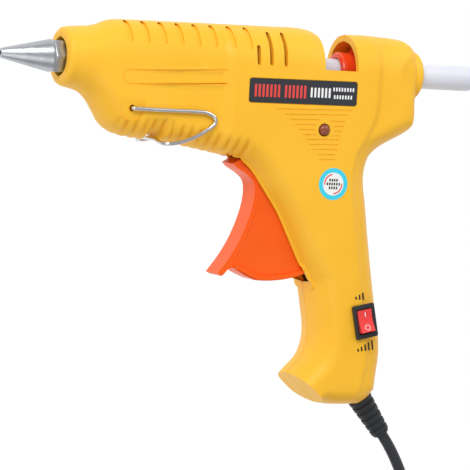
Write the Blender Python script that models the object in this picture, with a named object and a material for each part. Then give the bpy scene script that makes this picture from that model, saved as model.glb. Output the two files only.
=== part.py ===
"""Hot-melt glue gun lying on its right side, built piece by piece.

Frame, in metres: X runs along the glue stick, nozzle towards -X; Y is the gun's own up, handle towards -Y;
Z is across the gun, the left side up. Z = 0 is the surface the right side lies on.
X = 0, Y = 0 is on the stick's line.
The code below works in millimetres and scales once, in add().
"""
import math
import bpy
import bmesh
import numpy as np
from mathutils import Matrix, Vector
from mathutils.geometry import delaunay_2d_cdt

# ------------------------------------------------------------------ driving dimensions, mm
HALF_WIDTH = 16.0                       # half thickness of the housing at the side panels
FRONT_STEP = 2.1                        # how much thinner each side is in front of the label
REAR_STEP = 1.3                         # how much thinner each side is behind the crease
WALL = 2.8                              # housing wall
SEAM = 0.15                             # half of the gap at the parting plane
STICK_D = 11.2                          # glue stick
STICK_X = (-52.0, 102.4)                # its melted end and its tail
COLLAR_R = 12.85                        # front collar, outside
COLLAR_X = -97.0                        # front face of the collar
INLET_X = 73.8                          # back face of the inlet boss
REAR_WALL_X = 71.6                      # back wall round the boss
WINDOW_X0 = 21.5                        # load window, front edge
WINDOW_X1 = 37.7                        # load window, back edge
WINDOW_Y = 0.7                          # load window, lower edge
GROOVE_X = -69.6                        # first of the closed grooves along the top
GROOVE_PITCH = 7.9
GROOVE_COUNT = 8
GROOVE_Y = (7.6, 16.9)
GROOVE_W = 2.3
GROOVE_DEPTH = 0.8
VENTS = [(-10.5, 1.2, 9.8), (-4.5, 1.2, 15.6), (2.4, 1.0, 15.7)]     # open slots: x, lower and upper end
VENT_W = 1.7
TRIGGER_W = 12.0                        # trigger, across
PIVOT = (3.0, -35.5)                    # trigger pivot
PIVOT_PIN_R = 2.0
ARM = 22.0                              # trigger pivot to the carriage's drive pin
TRIGGER_RIM_R = 57.3                    # the trigger's lower rim, about its pivot
STAND_PIVOT = (-68.0, -20.0)
STAND_WIRE_D = 1.8
STAND_CROSSBAR = (-54.0, -33.0)         # where the stand's wire passes under the belly
NOZZLE_TIP_X = -123.8
NOZZLE_CONE_R = 7.0
NOZZLE_HEX = 14.0                       # across flats
LABEL = (11.5, -9.4, 51.9, 10.3)        # centre x, y, length, height
LABEL_TILT = 0.6                        # degrees
LED_POS = (22.7, -25.4)
LED_R = 2.6
SWITCH_POS = (48.2, -108.6)
SWITCH_W = 10.6                         # bezel, across the handle
SWITCH_H = 15.0                         # bezel, along the handle
SWITCH_TILT = -77.2                     # degrees from X to the bezel's long side
ROCKER_TILT = 8.0                       # degrees, either way from level
CORD_R = 2.5
RELIEF_ROOT = (56.3, -143.9)            # where the strain relief leaves the housing
RELIEF_ANGLE = -52.4                    # degrees, the way the cord leaves
RELIEF_LENGTH = 21.0
SCREWS = [(-52.0, -25.5), (-13.0, -29.0), (62.0, -21.5), (45.0, -66.0), (31.5, -136.5)]
SCREW_R = 1.4
BOSS_R = 3.4
COIL_AT = (66.0, -232.0)                # spare cord, wound up
COIL_R0 = 20.0
COIL_R1 = 35.0
PLUG_THICKNESS = 13.7

# clearances, mm
RUNNING = 0.12                          # round a pin that turns
EASY = 0.3                              # between neighbours that don't touch
ROOMY = 0.5                             # round the trigger in its slot
STICK_GAP = 0.4                         # round the glue stick

# worked out from those
MID = HALF_WIDTH + SEAM                 # height of the parting plane
TOP = MID + SEAM + HALF_WIDTH           # the left side panel
FRONT_HALF_WIDTH = HALF_WIDTH - FRONT_STEP
HEAD_HALF_WIDTH = COLLAR_R + 0.35       # just behind the collar
STICK_R = STICK_D / 2
INLET_R = STICK_R + 2 * STICK_GAP
COLLAR_BORE_R = NOZZLE_CONE_R + 1.25
TRIGGER_SLOT_HALF = TRIGGER_W / 2 + ROOMY
PIN_Y = PIVOT[1] + ARM                  # the drive pin's height
RELIEF_NECK_R = CORD_R + 1.5            # the strain relief inside the housing's opening
RELIEF_R0 = CORD_R + 3.1                # and outside it, thick end
RELIEF_R1 = CORD_R + 1.6                # thin end

# ------------------------------------------------------------------ clean start
for _o in list(bpy.data.objects):
    bpy.data.objects.remove(_o, do_unlink=True)

MATS = {}


def material(name, colour, rough=0.5, metal=0.0, alpha=1.0):
    if name not in MATS:
        m = bpy.data.materials.new(name)
        m.use_nodes = True
        b = m.node_tree.nodes["Principled BSDF"]
        b.inputs["Base Color"].default_value = (*colour, 1.0)
        b.inputs["Roughness"].default_value = rough
        b.inputs["Metallic"].default_value = metal
        b.inputs["Alpha"].default_value = alpha
        m.diffuse_color = (*colour, alpha)
        MATS[name] = m
    return MATS[name]


YELLOW = ("yellow_plastic", (1.0, 0.58, 0.05), 0.35)
ORANGE = ("orange_plastic", (1.0, 0.13, 0.01), 0.35)
RED = ("red_plastic", (0.75, 0.03, 0.02), 0.35)
BLACK = ("black_plastic", (0.03, 0.03, 0.035), 0.5)
RUBBER = ("black_rubber", (0.035, 0.037, 0.042), 0.7)
SILICONE = ("silicone", (0.55, 0.06, 0.03), 0.6)
STEEL = ("steel_wire", (0.72, 0.72, 0.74), 0.25, 1.0)
ALU = ("aluminium", (0.78, 0.79, 0.8), 0.25, 1.0)
BRASS = ("brass", (0.8, 0.6, 0.25), 0.3, 1.0)
GLUE = ("glue", (0.85, 0.84, 0.9), 0.3, 0.0, 0.8)
LENS = ("red_lens", (0.45, 0.12, 0.05), 0.2, 0.0, 0.9)
LABEL_FOIL = ("label_dark", (0.04, 0.045, 0.055), 0.4)
CERAMIC = ("ceramic", (0.85, 0.83, 0.78), 0.6)
BOARD = ("circuit_board", (0.35, 0.25, 0.1), 0.6)


def add(name, bm, mat, weld=1e-3):
    bmesh.ops.remove_doubles(bm, verts=bm.verts, dist=weld)
    bmesh.ops.dissolve_degenerate(bm, edges=bm.edges, dist=1e-4)
    bmesh.ops.recalc_face_normals(bm, faces=bm.faces)
    bmesh.ops.scale(bm, vec=Vector((0.001, 0.001, 0.001)), verts=bm.verts)
    me = bpy.data.meshes.new(name)
    bm.to_mesh(me)
    bm.free()
    o = bpy.data.objects.new(name, me)
    bpy.context.scene.collection.objects.link(o)
    me.materials.append(material(*mat))
    return o


def put_origin(obj, at):
    """Move the object's origin to a point of its joint's axis, mm, leaving its shape where it is."""
    offset = Vector(at) * 0.001
    obj.data.transform(Matrix.Translation(-offset))
    obj.location = offset
    return obj


def carve(obj, cutter, op="DIFFERENCE"):
    """Boolean obj with cutter, keep the result as plain mesh, drop the cutter."""
    m = obj.modifiers.new("cut", "BOOLEAN")
    m.operation = op
    m.solver = "EXACT"
    m.object = cutter
    bpy.context.view_layer.update()
    dg = bpy.context.evaluated_depsgraph_get()
    me = bpy.data.meshes.new_from_object(obj.evaluated_get(dg))
    obj.modifiers.clear()
    old = obj.data
    obj.data = me
    bpy.data.meshes.remove(old)
    bpy.data.objects.remove(cutter, do_unlink=True)
    return obj


# ------------------------------------------------------------------ simple solids, mm
def bm_prism(poly, z0, z1):
    bm = bmesh.new()
    lo = [bm.verts.new((x, y, z0)) for x, y in poly]
    hi = [bm.verts.new((x, y, z1)) for x, y in poly]
    bm.faces.new(lo[::-1])
    bm.faces.new(hi)
    n = len(poly)
    for i in range(n):
        bm.faces.new((lo[i], lo[(i + 1) % n], hi[(i + 1) % n], hi[i]))
    return bm


def bm_lathe(profile, segs, origin=(0, 0, MID), axis=(1, 0, 0), phase=0.0):
    """Revolve (distance along axis, radius). The profile is a closed loop, or starts and ends on the axis."""
    a = Vector(axis).normalized()
    side = Vector((0, 0, 1)) if abs(a.z) < 0.9 else Vector((0, 1, 0))
    u = a.cross(side).normalized()
    v = a.cross(u).normalized()
    o = Vector(origin)
    bm = bmesh.new()
    rings = []
    for t, r in profile:
        if r < 1e-6:
            rings.append([bm.verts.new(o + a * t)])
        else:
            rings.append([bm.verts.new(o + a * t + (u * math.cos(k) + v * math.sin(k)) * r)
                          for k in (phase + 2 * math.pi * i / segs for i in range(segs))])
    closed = profile[0][1] > 1e-6 and profile[-1][1] > 1e-6
    pairs = list(zip(rings, rings[1:]))
    if closed:
        pairs.append((rings[-1], rings[0]))
    for p, q in pairs:
        for i in range(segs):
            j = (i + 1) % segs
            if len(p) == 1 and len(q) > 1:
                bm.faces.new((p[0], q[i], q[j]))
            elif len(q) == 1 and len(p) > 1:
                bm.faces.new((p[i], p[j], q[0]))
            elif len(p) > 1:
                bm.faces.new((p[i], p[j], q[j], q[i]))
    return bm


def bm_tube(path, r, segs=8):
    """A round bar along a path of points."""
    pts = [Vector(p) for p in path]
    bm = bmesh.new()
    tang = []
    for i in range(len(pts)):
        a = pts[max(i - 1, 0)]
        b = pts[min(i + 1, len(pts) - 1)]
        tang.append((b - a).normalized())
    ref = Vector((0, 0, 1)) if abs(tang[0].z) < 0.9 else Vector((1, 0, 0))
    u = tang[0].cross(ref).normalized()
    rings = []
    for i, p in enumerate(pts):
        u = (u - tang[i] * u.dot(tang[i])).normalized()
        v = tang[i].cross(u)
        rings.append([bm.verts.new(p + (u * math.cos(k) + v * math.sin(k)) * r)
                      for k in (2 * math.pi * s / segs for s in range(segs))])
    for p, q in zip(rings, rings[1:]):
        for i in range(segs):
            j = (i + 1) % segs
            bm.faces.new((p[i], p[j], q[j], q[i]))
    bm.faces.new(rings[0][::-1])
    bm.faces.new(rings[-1])
    return bm


def bm_box(x0, x1, y0, y1, z0, z1):
    return bm_prism([(x0, y0), (x1, y0), (x1, y1), (x0, y1)], z0, z1)


def circle(cx, cy, r, n=20, phase=0.0):
    return [(cx + r * math.cos(phase + 2 * math.pi * i / n),
             cy + r * math.sin(phase + 2 * math.pi * i / n)) for i in range(n)]


def turned(poly, cx, cy, deg):
    c, s = math.cos(math.radians(deg)), math.sin(math.radians(deg))
    return [(cx + x * c - y * s, cy + x * s + y * c) for x, y in poly]


def rounded(w, h, r, n=4):
    out = []
    for sx, sy, a0 in ((1, 1, 0), (-1, 1, 90), (-1, -1, 180), (1, -1, 270)):
        for i in range(n + 1):
            a = math.radians(a0 + 90 * i / n)
            out.append((sx * (w / 2 - r) + r * math.cos(a), sy * (h / 2 - r) + r * math.sin(a)))
    return out


def spline(ctrl, step):
    """Centripetal curve through the control points, sampled about every step mm, both ends kept."""
    p = [np.array(c, float) for c in ctrl]
    if len(p) == 2:
        n = max(1, int(round(np.linalg.norm(p[1] - p[0]) / step)))
        return [tuple(p[0] + (p[1] - p[0]) * i / n) for i in range(n + 1)]
    p = [2 * p[0] - p[1]] + p + [2 * p[-1] - p[-2]]
    fine = []
    for i in range(1, len(p) - 2):
        t = [0.0]
        for k in range(3):
            t.append(t[-1] + max(np.linalg.norm(p[i + k] - p[i + k - 1]), 1e-6) ** 0.5)
        for s in np.linspace(t[1], t[2], 16, endpoint=False):
            a1 = (t[1] - s) / (t[1] - t[0]) * p[i - 1] + (s - t[0]) / (t[1] - t[0]) * p[i]
            a2 = (t[2] - s) / (t[2] - t[1]) * p[i] + (s - t[1]) / (t[2] - t[1]) * p[i + 1]
            a3 = (t[3] - s) / (t[3] - t[2]) * p[i + 1] + (s - t[2]) / (t[3] - t[2]) * p[i + 2]
            b1 = (t[2] - s) / (t[2] - t[0]) * a1 + (s - t[0]) / (t[2] - t[0]) * a2
            b2 = (t[3] - s) / (t[3] - t[1]) * a2 + (s - t[1]) / (t[3] - t[1]) * a3
            fine.append((t[2] - s) / (t[2] - t[1]) * b1 + (s - t[1]) / (t[2] - t[1]) * b2)
    fine.append(p[-2])
    fine = np.array(fine)
    run = np.concatenate([[0], np.cumsum(np.linalg.norm(np.diff(fine, axis=0), axis=1))])
    # more samples where the curve turns
    d = np.diff(fine, axis=0)
    ang = np.unwrap(np.arctan2(d[:, 1], d[:, 0]))
    turn = np.concatenate([[0], np.cumsum(np.abs(np.concatenate([[0], np.diff(ang)])))])
    dens = run / step + turn / 0.45
    n = max(2, int(round(dens[-1])))
    at = np.interp(np.linspace(0, dens[-1], n + 1), dens, run)
    return [(float(np.interp(s, run, fine[:, 0])), float(np.interp(s, run, fine[:, 1]))) for s in at]


# ------------------------------------------------------------------ the housing's side outline
def outline_segments():
    """(kind, control points), clockwise from the collar's top.

    rim: closed at the parting plane; open: a cut; lip: a blunt edge round a slot; facet: a flat on the edge.
    """
    c = COLLAR_X
    ry = COLLAR_R
    bx, by = STAND_CROSSBAR
    return [
        ("rim", [(c, ry - 2.4), (c + 0.7, ry - 0.8), (c + 2.5, ry)]),
        ("rim", [(c + 2.5, ry), (-90, 13.3), (-84.5, 13.8), (-80.2, 14.9), (-76.5, 16.4), (-72.5, 17.1),
                 (-67, 17.25), (-45, 17.5),
                 (-20, 17.8), (0, 18.0), (WINDOW_X0 - 8.5, 18.1), (WINDOW_X0 - 3.0, 17.5),
                 (WINDOW_X0, 16.4)]),
        ("open", [(WINDOW_X0, 16.4), (WINDOW_X0, WINDOW_Y)]),
        ("open", [(WINDOW_X0, WINDOW_Y), (WINDOW_X1, WINDOW_Y)]),
        ("open", [(WINDOW_X1, WINDOW_Y), (WINDOW_X1, 16.4)]),
        ("rim", [(WINDOW_X1, 16.4), (45, 16.6), (55.5, 16.2), (62, 15.8), (66, 15.1), (69.3, 13.3),
                 (71.4, 10.9)]),
        ("rim", [(71.4, 10.9), (73.1, 10.0), (INLET_X, 8.4)]),
        ("open", [(INLET_X, 8.4), (INLET_X, -8.4)]),
        ("rim", [(INLET_X, -8.4), (73.1, -10.0), (71.4, -10.9)]),
        ("rim", [(71.4, -10.9), (71.6, -14), (71.7, -19), (71.0, -22.4), (68.2, -25.4), (63, -28.6),
                 (58.6, -31), (54, -34), (50.8, -37.6),
                 (49.4, -42.5), (49.3, -48), (50.8, -56.5), (52.6, -67.5), (55.3, -83.1), (57.8, -96.5),
                 (60.3, -109.1), (62.0, -117),
                 (62.5, -124), (61.8, -132), (60.3, -140.9)]),
        ("lip", [(60.3, -140.9), (52.4, -146.9)]),
        ("rim", [(52.4, -146.9), (47, -147.1), (42.5, -147.1), (37.5, -147.0), (34.2, -146.6)]),
        ("facet", [(34.2, -146.6), (19.6, -133.6)]),
        ("rim", [(19.6, -133.6), (20.9, -131.9), (22.9, -129.7), (26, -126.4), (27.9, -122.6), (28.8, -118),
                 (28.7, -113.5),
                 (27.3, -105.6), (25.7, -98), (24.6, -93.2)]),
        ("lip", [(24.6, -93.2), (23.0, -91.2), (20.9, -87.8), (18.6, -84.4), (16.4, -80.6), (11.9, -72.2),
                 (6.3, -62.3), (-0.6, -52.9), (-6, -45.8), (-10.3, -41.9),
                 (-14.4, -39.6), (-17.4, -39.1)]),
        ("rim", [(-17.4, -39.1), (-22, -38.4), (-28.6, -37.3), (-43.1, -35.1), (bx + 1.4, -34.2)]),
        ("rim", [(bx + 1.4, -34.2), (bx + 1.2, by + 1.4), (bx - 1.4, by + 1.6), (bx - 4.4, -33.7)]),
        ("rim", [(bx - 4.4, -33.7), (-61.6, -33.3), (-66.8, -32.6), (-71.6, -31.2), (-75.8, -28.4),
                 (-79.6, -23), (-83, -18.4),
                 (-86.4, -15.4), (-90.5, -13.7), (c + 2.5, -ry)]),
        ("rim", [(c + 2.5, -ry), (c + 0.7, -ry + 0.8), (c, -ry + 2.4)]),
        ("open", [(c, -ry + 2.4), (c, ry - 2.4)]),
    ]


def outline(step):
    pts, kinds = [], []
    for kind, ctrl in outline_segments():
        s = spline(ctrl, step if kind != "open" else min(step, 2.2))
        if kind == "lip" and len(ctrl) == 2:
            s = spline(ctrl, min(step, 1.4))
        elif kind in ("lip", "facet") or abs(ctrl[0][0] - ctrl[-1][0]) + abs(ctrl[0][1] - ctrl[-1][1]) < 9:
            s = spline(ctrl, min(step, 3.0))
        for q in s[:-1]:
            pts.append(q)
            kinds.append(kind)
    return np.array(pts), kinds     # kinds[i] is the kind of the edge from point i to point i + 1


_FINE = outline(0.8)


def _edges(keep):
    p, k = _FINE
    q = np.roll(p, -1, axis=0)
    m = np.array([x in keep for x in k])
    return p[m], q[m]


_WALLS = _edges(("rim", "lip"))               # what the outside is rounded towards
_CLOSED = _edges(("rim", "lip", "facet"))     # what the hollow keeps a wall from


def seg_dist(x, y, a, b):
    """Distance from each point to the nearest of the segments a-b."""
    x = np.atleast_1d(x).astype(float)
    y = np.atleast_1d(y).astype(float)
    best = np.full(x.shape, 1e9)
    ab = b - a
    l2 = (ab ** 2).sum(1) + 1e-12
    for i0 in range(0, len(x), 2000):
        px = x[i0:i0 + 2000, None] - a[None, :, 0]
        py = y[i0:i0 + 2000, None] - a[None, :, 1]
        t = np.clip((px * ab[:, 0] + py * ab[:, 1]) / l2, 0, 1)
        d = np.hypot(px - t * ab[:, 0], py - t * ab[:, 1])
        best[i0:i0 + 2000] = d.min(1)
    return best


def smooth(v, lo, hi):
    t = np.clip((v - lo) / (hi - lo), 0, 1)
    return t * t * (3 - 2 * t)


CREASE = np.array([(47.3, 40.0), (47.3, -12.0), (46.6, -19.0), (43.0, -27.5), (38.2, -36.0), (37.0, -44.0),
                   (38.4, -58.0), (41.5, -76.0), (45.0, -96.0),
                   (49.0, -116.0), (49.6, -128.0), (47.0, -141.0), (46.0, -160.0)])


def crease_x(y):
    o = np.argsort(CREASE[:, 1])
    return np.interp(y, CREASE[o, 1], CREASE[o, 0])


def half_width(x, y):
    w = FRONT_HALF_WIDTH + (HALF_WIDTH - FRONT_HALF_WIDTH) * smooth(x, -27.0, -20.5)
    w = w + (HEAD_HALF_WIDTH - FRONT_HALF_WIDTH) * (1 - smooth(x, -88.0, -74.0))
    slope = 1.0 / 1.05
    s = (x - crease_x(y)) * slope
    return w - REAR_STEP * smooth(s, 0.0, 3.6)


def edge_round(x, y):
    """How far in from the outline the rounding of the edge reaches."""
    e = 9.5 + 7.0 * smooth(y, -12.0, 0.0)
    e = e + (HEAD_HALF_WIDTH - e) * (1 - smooth(x, -88.0, -76.0))
    mid = 30.0 - (y + 50.0) * 0.12
    rear = smooth(x, mid - 2, mid + 6) * (1 - smooth(y, -32.0, -26.0))
    e = e + (12.0 - e) * rear
    e = e + (7.5 - e) * smooth(x, 62.0, 70.0) * (1 - smooth(y, 2.0, 12.0))
    e = e + (7.0 - e) * (1 - smooth(y, -146.0, -128.0))
    return e


def line_off(x, y, origin, deg):
    c, s = math.cos(math.radians(deg)), math.sin(math.radians(deg))
    along = (x - origin[0]) * c + (y - origin[1]) * s
    across = -(x - origin[0]) * s + (y - origin[1]) * c
    return along, across


def near_rim_notch(x, y):
    r = np.hypot(x - PIVOT[0], y - PIVOT[1])
    return (r > TRIGGER_RIM_R - 4.6) & (x > 17.0) & (x < 28.0) & (y > -95.0)


def half_out(x, y, inset=0.0):
    """Height of the housing's surface above the parting plane, or of that surface moved inwards."""
    x = np.atleast_1d(x).astype(float)
    y = np.atleast_1d(y).astype(float)
    d = seg_dist(x, y, *_WALLS)
    d = np.where((x > 60.0) & (np.abs(y) < 11.5), np.clip(np.minimum(d, REAR_WALL_X - x), 0, None),
                 d) - inset
    e = edge_round(x, y) - inset
    w = half_width(x, y) - inset
    u = 1 - np.clip(d / e, 0, 1)
    h = w * np.sqrt(np.clip(1 - u * u, 0, 1))
    # the front collar and the inlet boss are round about the stick's line
    k = np.clip((x - COLLAR_X) / 2.5, 0, 1)
    rc = COLLAR_R - 2.4 * (1 - np.sqrt(1 - (1 - k) ** 2)) - inset
    hc = np.sqrt(np.clip(rc * rc - y * y, 0, None))
    t = smooth(x, COLLAR_X + 3.0, COLLAR_X + 9.0)
    h = np.where(x < COLLAR_X + 9.0, hc * (1 - t) + h * t, h)
    k = np.clip((INLET_X - x) / 2.4, 0, 1)
    rb = 8.4 + 2.4 * np.sqrt(1 - (1 - k) ** 2) - inset
    hb = np.where(x > 66.0, np.sqrt(np.clip(rb * rb - y * y, 0, None)), 0)
    h = np.maximum(h, hb)
    return h


def lip_out(x, y):
    """The blunt edge round the trigger's slot and the cord's opening."""
    along, across = line_off(x, y, RELIEF_ROOT, RELIEF_ANGLE)
    r = RELIEF_R0 + 0.9
    hs = np.where((along > -6) & (np.abs(across) < r), np.sqrt(np.clip(r * r - across ** 2, 0, None)), 0)
    near = (x > -19.5) & (x < 27) & (y < -38.0) & (y > -96.0)
    ht = np.where(near, np.where(near_rim_notch(x, y), TRIGGER_SLOT_HALF + 2.3, TRIGGER_SLOT_HALF + 1.1), 0)
    return np.maximum(hs, ht)


def lip_in(x, y):
    along, across = line_off(x, y, RELIEF_ROOT, RELIEF_ANGLE)
    r = RELIEF_NECK_R + 1.1
    hs = np.where((along > -9.5) & (np.abs(across) < r), np.sqrt(np.clip(r * r - across ** 2, 0, None)), 0)
    near = (x > -17.2) & (x < 27.5) & (y < -33.0) & (y > -94.4)
    ht = np.where(near, np.where(near_rim_notch(x, y), TRIGGER_SLOT_HALF + 1.2, TRIGGER_SLOT_HALF), 0)
    return np.maximum(hs, ht)


def half_in(x, y):
    """Height of the hollow above the parting plane."""
    x = np.atleast_1d(x).astype(float)
    y = np.atleast_1d(y).astype(float)
    d = seg_dist(x, y, *_CLOSED)
    h = half_out(x, y, WALL)
    h = np.where(d > WALL, h, 0)
    h = np.where((x > COLLAR_X + 3.4) & (x < INLET_X - 4.4), h, 0)
    front = np.where(x <= COLLAR_X + 3.9, np.sqrt(np.clip(COLLAR_BORE_R ** 2 - y * y, 0, None)), 0)
    rear = np.where(x >= INLET_X - 5.0, np.sqrt(np.clip(INLET_R ** 2 - y * y, 0, None)), 0)
    h = np.maximum(h, np.maximum(front, rear))
    slot = np.where(d < 9.0, lip_in(x, y), 0)
    return np.maximum(h, slot)


def inside(poly, x, y):
    poly = np.asarray(poly)
    x = np.atleast_1d(x)
    y = np.atleast_1d(y)
    res = np.zeros(x.shape, bool)
    n = len(poly)
    for i in range(n):
        x0, y0 = poly[i]
        x1, y1 = poly[(i + 1) % n]
        c = (y0 > y) != (y1 > y)
        if c.any():
            xi = (x1 - x0) * (y - y0) / (y1 - y0 + 1e-30) + x0
            res ^= c & (x < xi)
    return res


def thin(points, gap, fixed):
    """Drop points closer than gap to one kept already."""
    cell = {}

    def key(p):
        return (int(math.floor(p[0] / gap)), int(math.floor(p[1] / gap)))

    def clash(p):
        kx, ky = key(p)
        for i in (-1, 0, 1):
            for j in (-1, 0, 1):
                for q in cell.get((kx + i, ky + j), ()):
                    if (q[0] - p[0]) ** 2 + (q[1] - p[1]) ** 2 < gap * gap:
                        return True
        return False

    for p in fixed:
        cell.setdefault(key(p), []).append(p)
    out = []
    for p in points:
        if not clash(p):
            cell.setdefault(key(p), []).append(p)
            out.append(p)
    return out


def relief_surface(loops, extra):
    """Triangles over the outline with every loop as an edge: points and triangles inside the first loop."""
    pts, edges = [], []
    for loop in loops:
        b = len(pts)
        n = len(loop)
        pts += [Vector(p) for p in loop]
        edges += [(b + i, b + (i + 1) % n) for i in range(n)]
    pts += [Vector(p) for p in extra]
    v, _, f, *_ = delaunay_2d_cdt(pts, edges, [], 0, 1e-6)
    v = np.array([(p.x, p.y) for p in v])
    f = np.array([t for t in f if len(t) == 3])
    cen = v[f].mean(1)
    e1, e2 = v[f[:, 1]] - v[f[:, 0]], v[f[:, 2]] - v[f[:, 0]]
    area = np.abs(e1[:, 0] * e2[:, 1] - e1[:, 1] * e2[:, 0])
    f = f[inside(loops[0], cen[:, 0], cen[:, 1]) & (area > 2e-4)]
    return v, f


def ring_points(out, fractions, gap, fixed, e_of, start=0.0):
    """Points on curves inside the outline, spaced to follow the edge's rounding."""
    p = np.asarray(out)
    a = np.roll(p, 1, axis=0)
    b = np.roll(p, -1, axis=0)
    t = b - a
    t /= np.linalg.norm(t, axis=1)[:, None]
    n = np.stack([t[:, 1], -t[:, 0]], 1)          # clockwise outline: inwards is to the right
    res = []
    e = e_of(p[:, 0], p[:, 1])
    for fr in fractions:
        d = start + (e - start) * fr
        q = p + n * d[:, None]
        ok = inside(p, q[:, 0], q[:, 1])
        dist = seg_dist(q[:, 0], q[:, 1], *_WALLS)
        ok &= dist > 0.93 * d
        res += [tuple(r) for r in q[ok]]
    return thin(res, gap, fixed)


def shell(side, step, holes=(), outer=(), inner=(), fracs=(0.06, 0.22, 0.47, 0.76, 1.0), gap=1.6,
          grid=None):
    """One half housing. side +1 is the left, -1 the right.

    holes go through both surfaces; outer and inner are pockets, bosses and ribs:
    (loop, level function). Levels are heights above the parting plane."""
    p, kinds = outline(step)
    out = [tuple(q) for q in p]
    bm = bmesh.new()

    def z(h):
        return MID + side * (SEAM + np.maximum(h, 0))

    holes = list(holes)
    grid_pts = []
    if grid:
        xs = np.arange(p[:, 0].min(), p[:, 0].max(), grid)
        ys = np.arange(p[:, 1].min(), p[:, 1].max(), grid)
        gx, gy = np.meshgrid(xs, ys)
        gx = (gx + (np.arange(len(ys)) % 2)[:, None] * grid / 2).ravel()
        gy = gy.ravel()
        k = inside(p, gx, gy)
        grid_pts = list(zip(gx[k], gy[k]))
    feature = []
    for yy in np.arange(-140, 18, 14.0 if not grid else 3.0):
        cx = float(crease_x(yy))
        feature += [(cx, yy), (cx + 3.8, yy)]
    for xx in (-27.0, -20.5):
        feature += [(xx, yy) for yy in np.arange(-26, 17, 9.0)]
    feature += [(x, y) for x in (COLLAR_X + 1.2, COLLAR_X + 2.6, COLLAR_X + 9.0, -82.0,
                                 -76.0) for y in np.arange(-12, 12.1, 3.0)]
    feature += [(x, y) for x in (INLET_X - 1.0, INLET_X - 2.5, 69.0) for y in np.arange(-9.0, 9.1, 3.0)]
    feature += [(x, y) for x in (34.0, 50.0, 60.0) for y in (-6.0, -18.0)] + [(44.0, y) for y in (-55.0,
                                                            -90.0)]

    def surface(loops, pts, e_holes):
        fixed = out + [q for loop, _ in loops for q in loop] + [q for h in e_holes for q in h[0]]
        a = seg_dist(np.array([q[0] for q in pts]), np.array([q[1] for q in pts]), np.asarray(out),
                     np.roll(np.asarray(out), -1, axis=0))
        pts = [q for q, d in zip(pts, a) if d > 0.3]
        pts = [q for q,
               k in zip(pts,
                        inside(out, np.array([q[0] for q in pts]), np.array([q[1] for q in pts]))) if k]
        near = [q for q in pts if not any(
            min((q[0] - r[0]) ** 2 + (q[1] - r[1]) ** 2 for r in loop) < 0.15 for loop in [l for l,
                                                            _ in loops] + [h[0] for h in e_holes])]
        v, f = relief_surface([out] + [l for l, _ in loops] + [h[0] for h in e_holes],
                              thin(near, gap if not grid else grid * 0.45, fixed))
        return v, f

    def emit(v, f, base, loops, hole_loops):
        cen = v[f].mean(1)
        keep = np.ones(len(f), bool)
        for h in hole_loops:
            keep &= ~inside(h, cen[:, 0], cen[:, 1])
        f, cen = f[keep], cen[keep]
        region = np.full(len(f), -1)
        for i, (loop, _) in enumerate(loops):
            region[inside(loop, cen[:, 0], cen[:, 1])] = i
        hb = base(v[:, 0], v[:, 1])
        # outline points on a rim meet the parting plane
        for i in range(len(out)):
            if kinds[i] == "rim" or kinds[i - 1] == "rim":
                hb[np.argmin((v[:, 0] - out[i][0]) ** 2 + (v[:, 1] - out[i][1]) ** 2)] = 0
        levels = {-1: hb}
        for i, (_, fn) in enumerate(loops):
            levels[i] = fn(v[:, 0], v[:, 1])
        for t, r in zip(f, region):
            zz = z(levels[r][t])
            bm.faces.new([bm.verts.new((v[i][0], v[i][1], zz[j])) for j, i in enumerate(t)])
        # walls round each region
        for i, (loop, fn) in enumerate(loops):
            lp = np.array([Vector(q)[:] for q in loop])
            around = base
            for other, fo in loops[:i]:
                if inside(other, lp[:1, 0], lp[:1, 1])[0]:
                    around = fo
            wall(lp, z(around(lp[:, 0], lp[:, 1])), z(fn(lp[:, 0], lp[:, 1])))

    def wall(lp, z0, z1, closed=True):
        n = len(lp)
        for i in range(n if closed else n - 1):
            j = (i + 1) % n
            quad = [(*lp[i], z0[i]), (*lp[j], z0[j]), (*lp[j], z1[j]), (*lp[i], z1[i])]
            uniq = []
            for q in quad:
                if not any(abs(q[0] - r[0]) + abs(q[1] - r[1]) + abs(q[2] - r[2]) < 1e-5 for r in uniq):
                    uniq.append(q)
            if len(uniq) >= 3:
                bm.faces.new([bm.verts.new(q) for q in uniq])

    def base_out(x, y):
        h = half_out(x, y)
        d = seg_dist(x, y, *_WALLS)
        return np.maximum(h, np.where(d < 5.0, lip_out(x, y), 0))

    def base_in(x, y):
        return half_in(x, y)

    o_pts = ring_points(out, fracs, gap, out, edge_round)
    v, f = surface(list(outer), feature + o_pts + grid_pts, holes)
    emit(v, f, base_out, list(outer), [h[0] for h in holes])

    def e_in(x, y):
        return edge_round(x, y)

    inner_rings = ring_points(out, (0.0, 0.03, 0.16, 0.45, 1.0), gap, out, e_in, start=WALL + 0.02)
    steps = [(x, y) for x in (COLLAR_X + 3.4, COLLAR_X + 3.9, INLET_X - 4.4,
                              INLET_X - 5.0) for y in np.arange(-9.6, 9.7, 2.4)]
    steps += turned([(t, c) for t in (-9.7, -8.0, -5.0, -2.0) for c in np.linspace(-5.2, 5.2, 9)],
                    *RELIEF_ROOT, RELIEF_ANGLE)
    v, f = surface(list(inner), steps + inner_rings + [q for q in feature if not (q[0] < COLLAR_X + 9.5)],
                   holes)
    emit(v, f, base_in, list(inner), [h[0] for h in holes])

    # through-hole walls
    for loop, lo, hi in holes:
        lp = np.array([Vector(q)[:] for q in loop])
        z1 = z((hi or base_out)(lp[:, 0], lp[:, 1]))
        z0 = z((lo or base_in)(lp[:, 0], lp[:, 1]))
        wall(lp, z0, z1)
    # cut edges
    pv = np.array([Vector(q)[:] for q in out])
    ho = base_out(pv[:, 0], pv[:, 1])
    hi_ = base_in(pv[:, 0], pv[:, 1])
    n = len(out)
    for i in range(n):
        if kinds[i] == "rim" or kinds[i - 1] == "rim":
            ho[i] = hi_[i] = 0
    for i in range(n):
        if kinds[i] != "rim":
            j = (i + 1) % n
            wall(pv[[i, j]], z(ho[[i, j]]), z(hi_[[i, j]]), closed=False)
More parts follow.
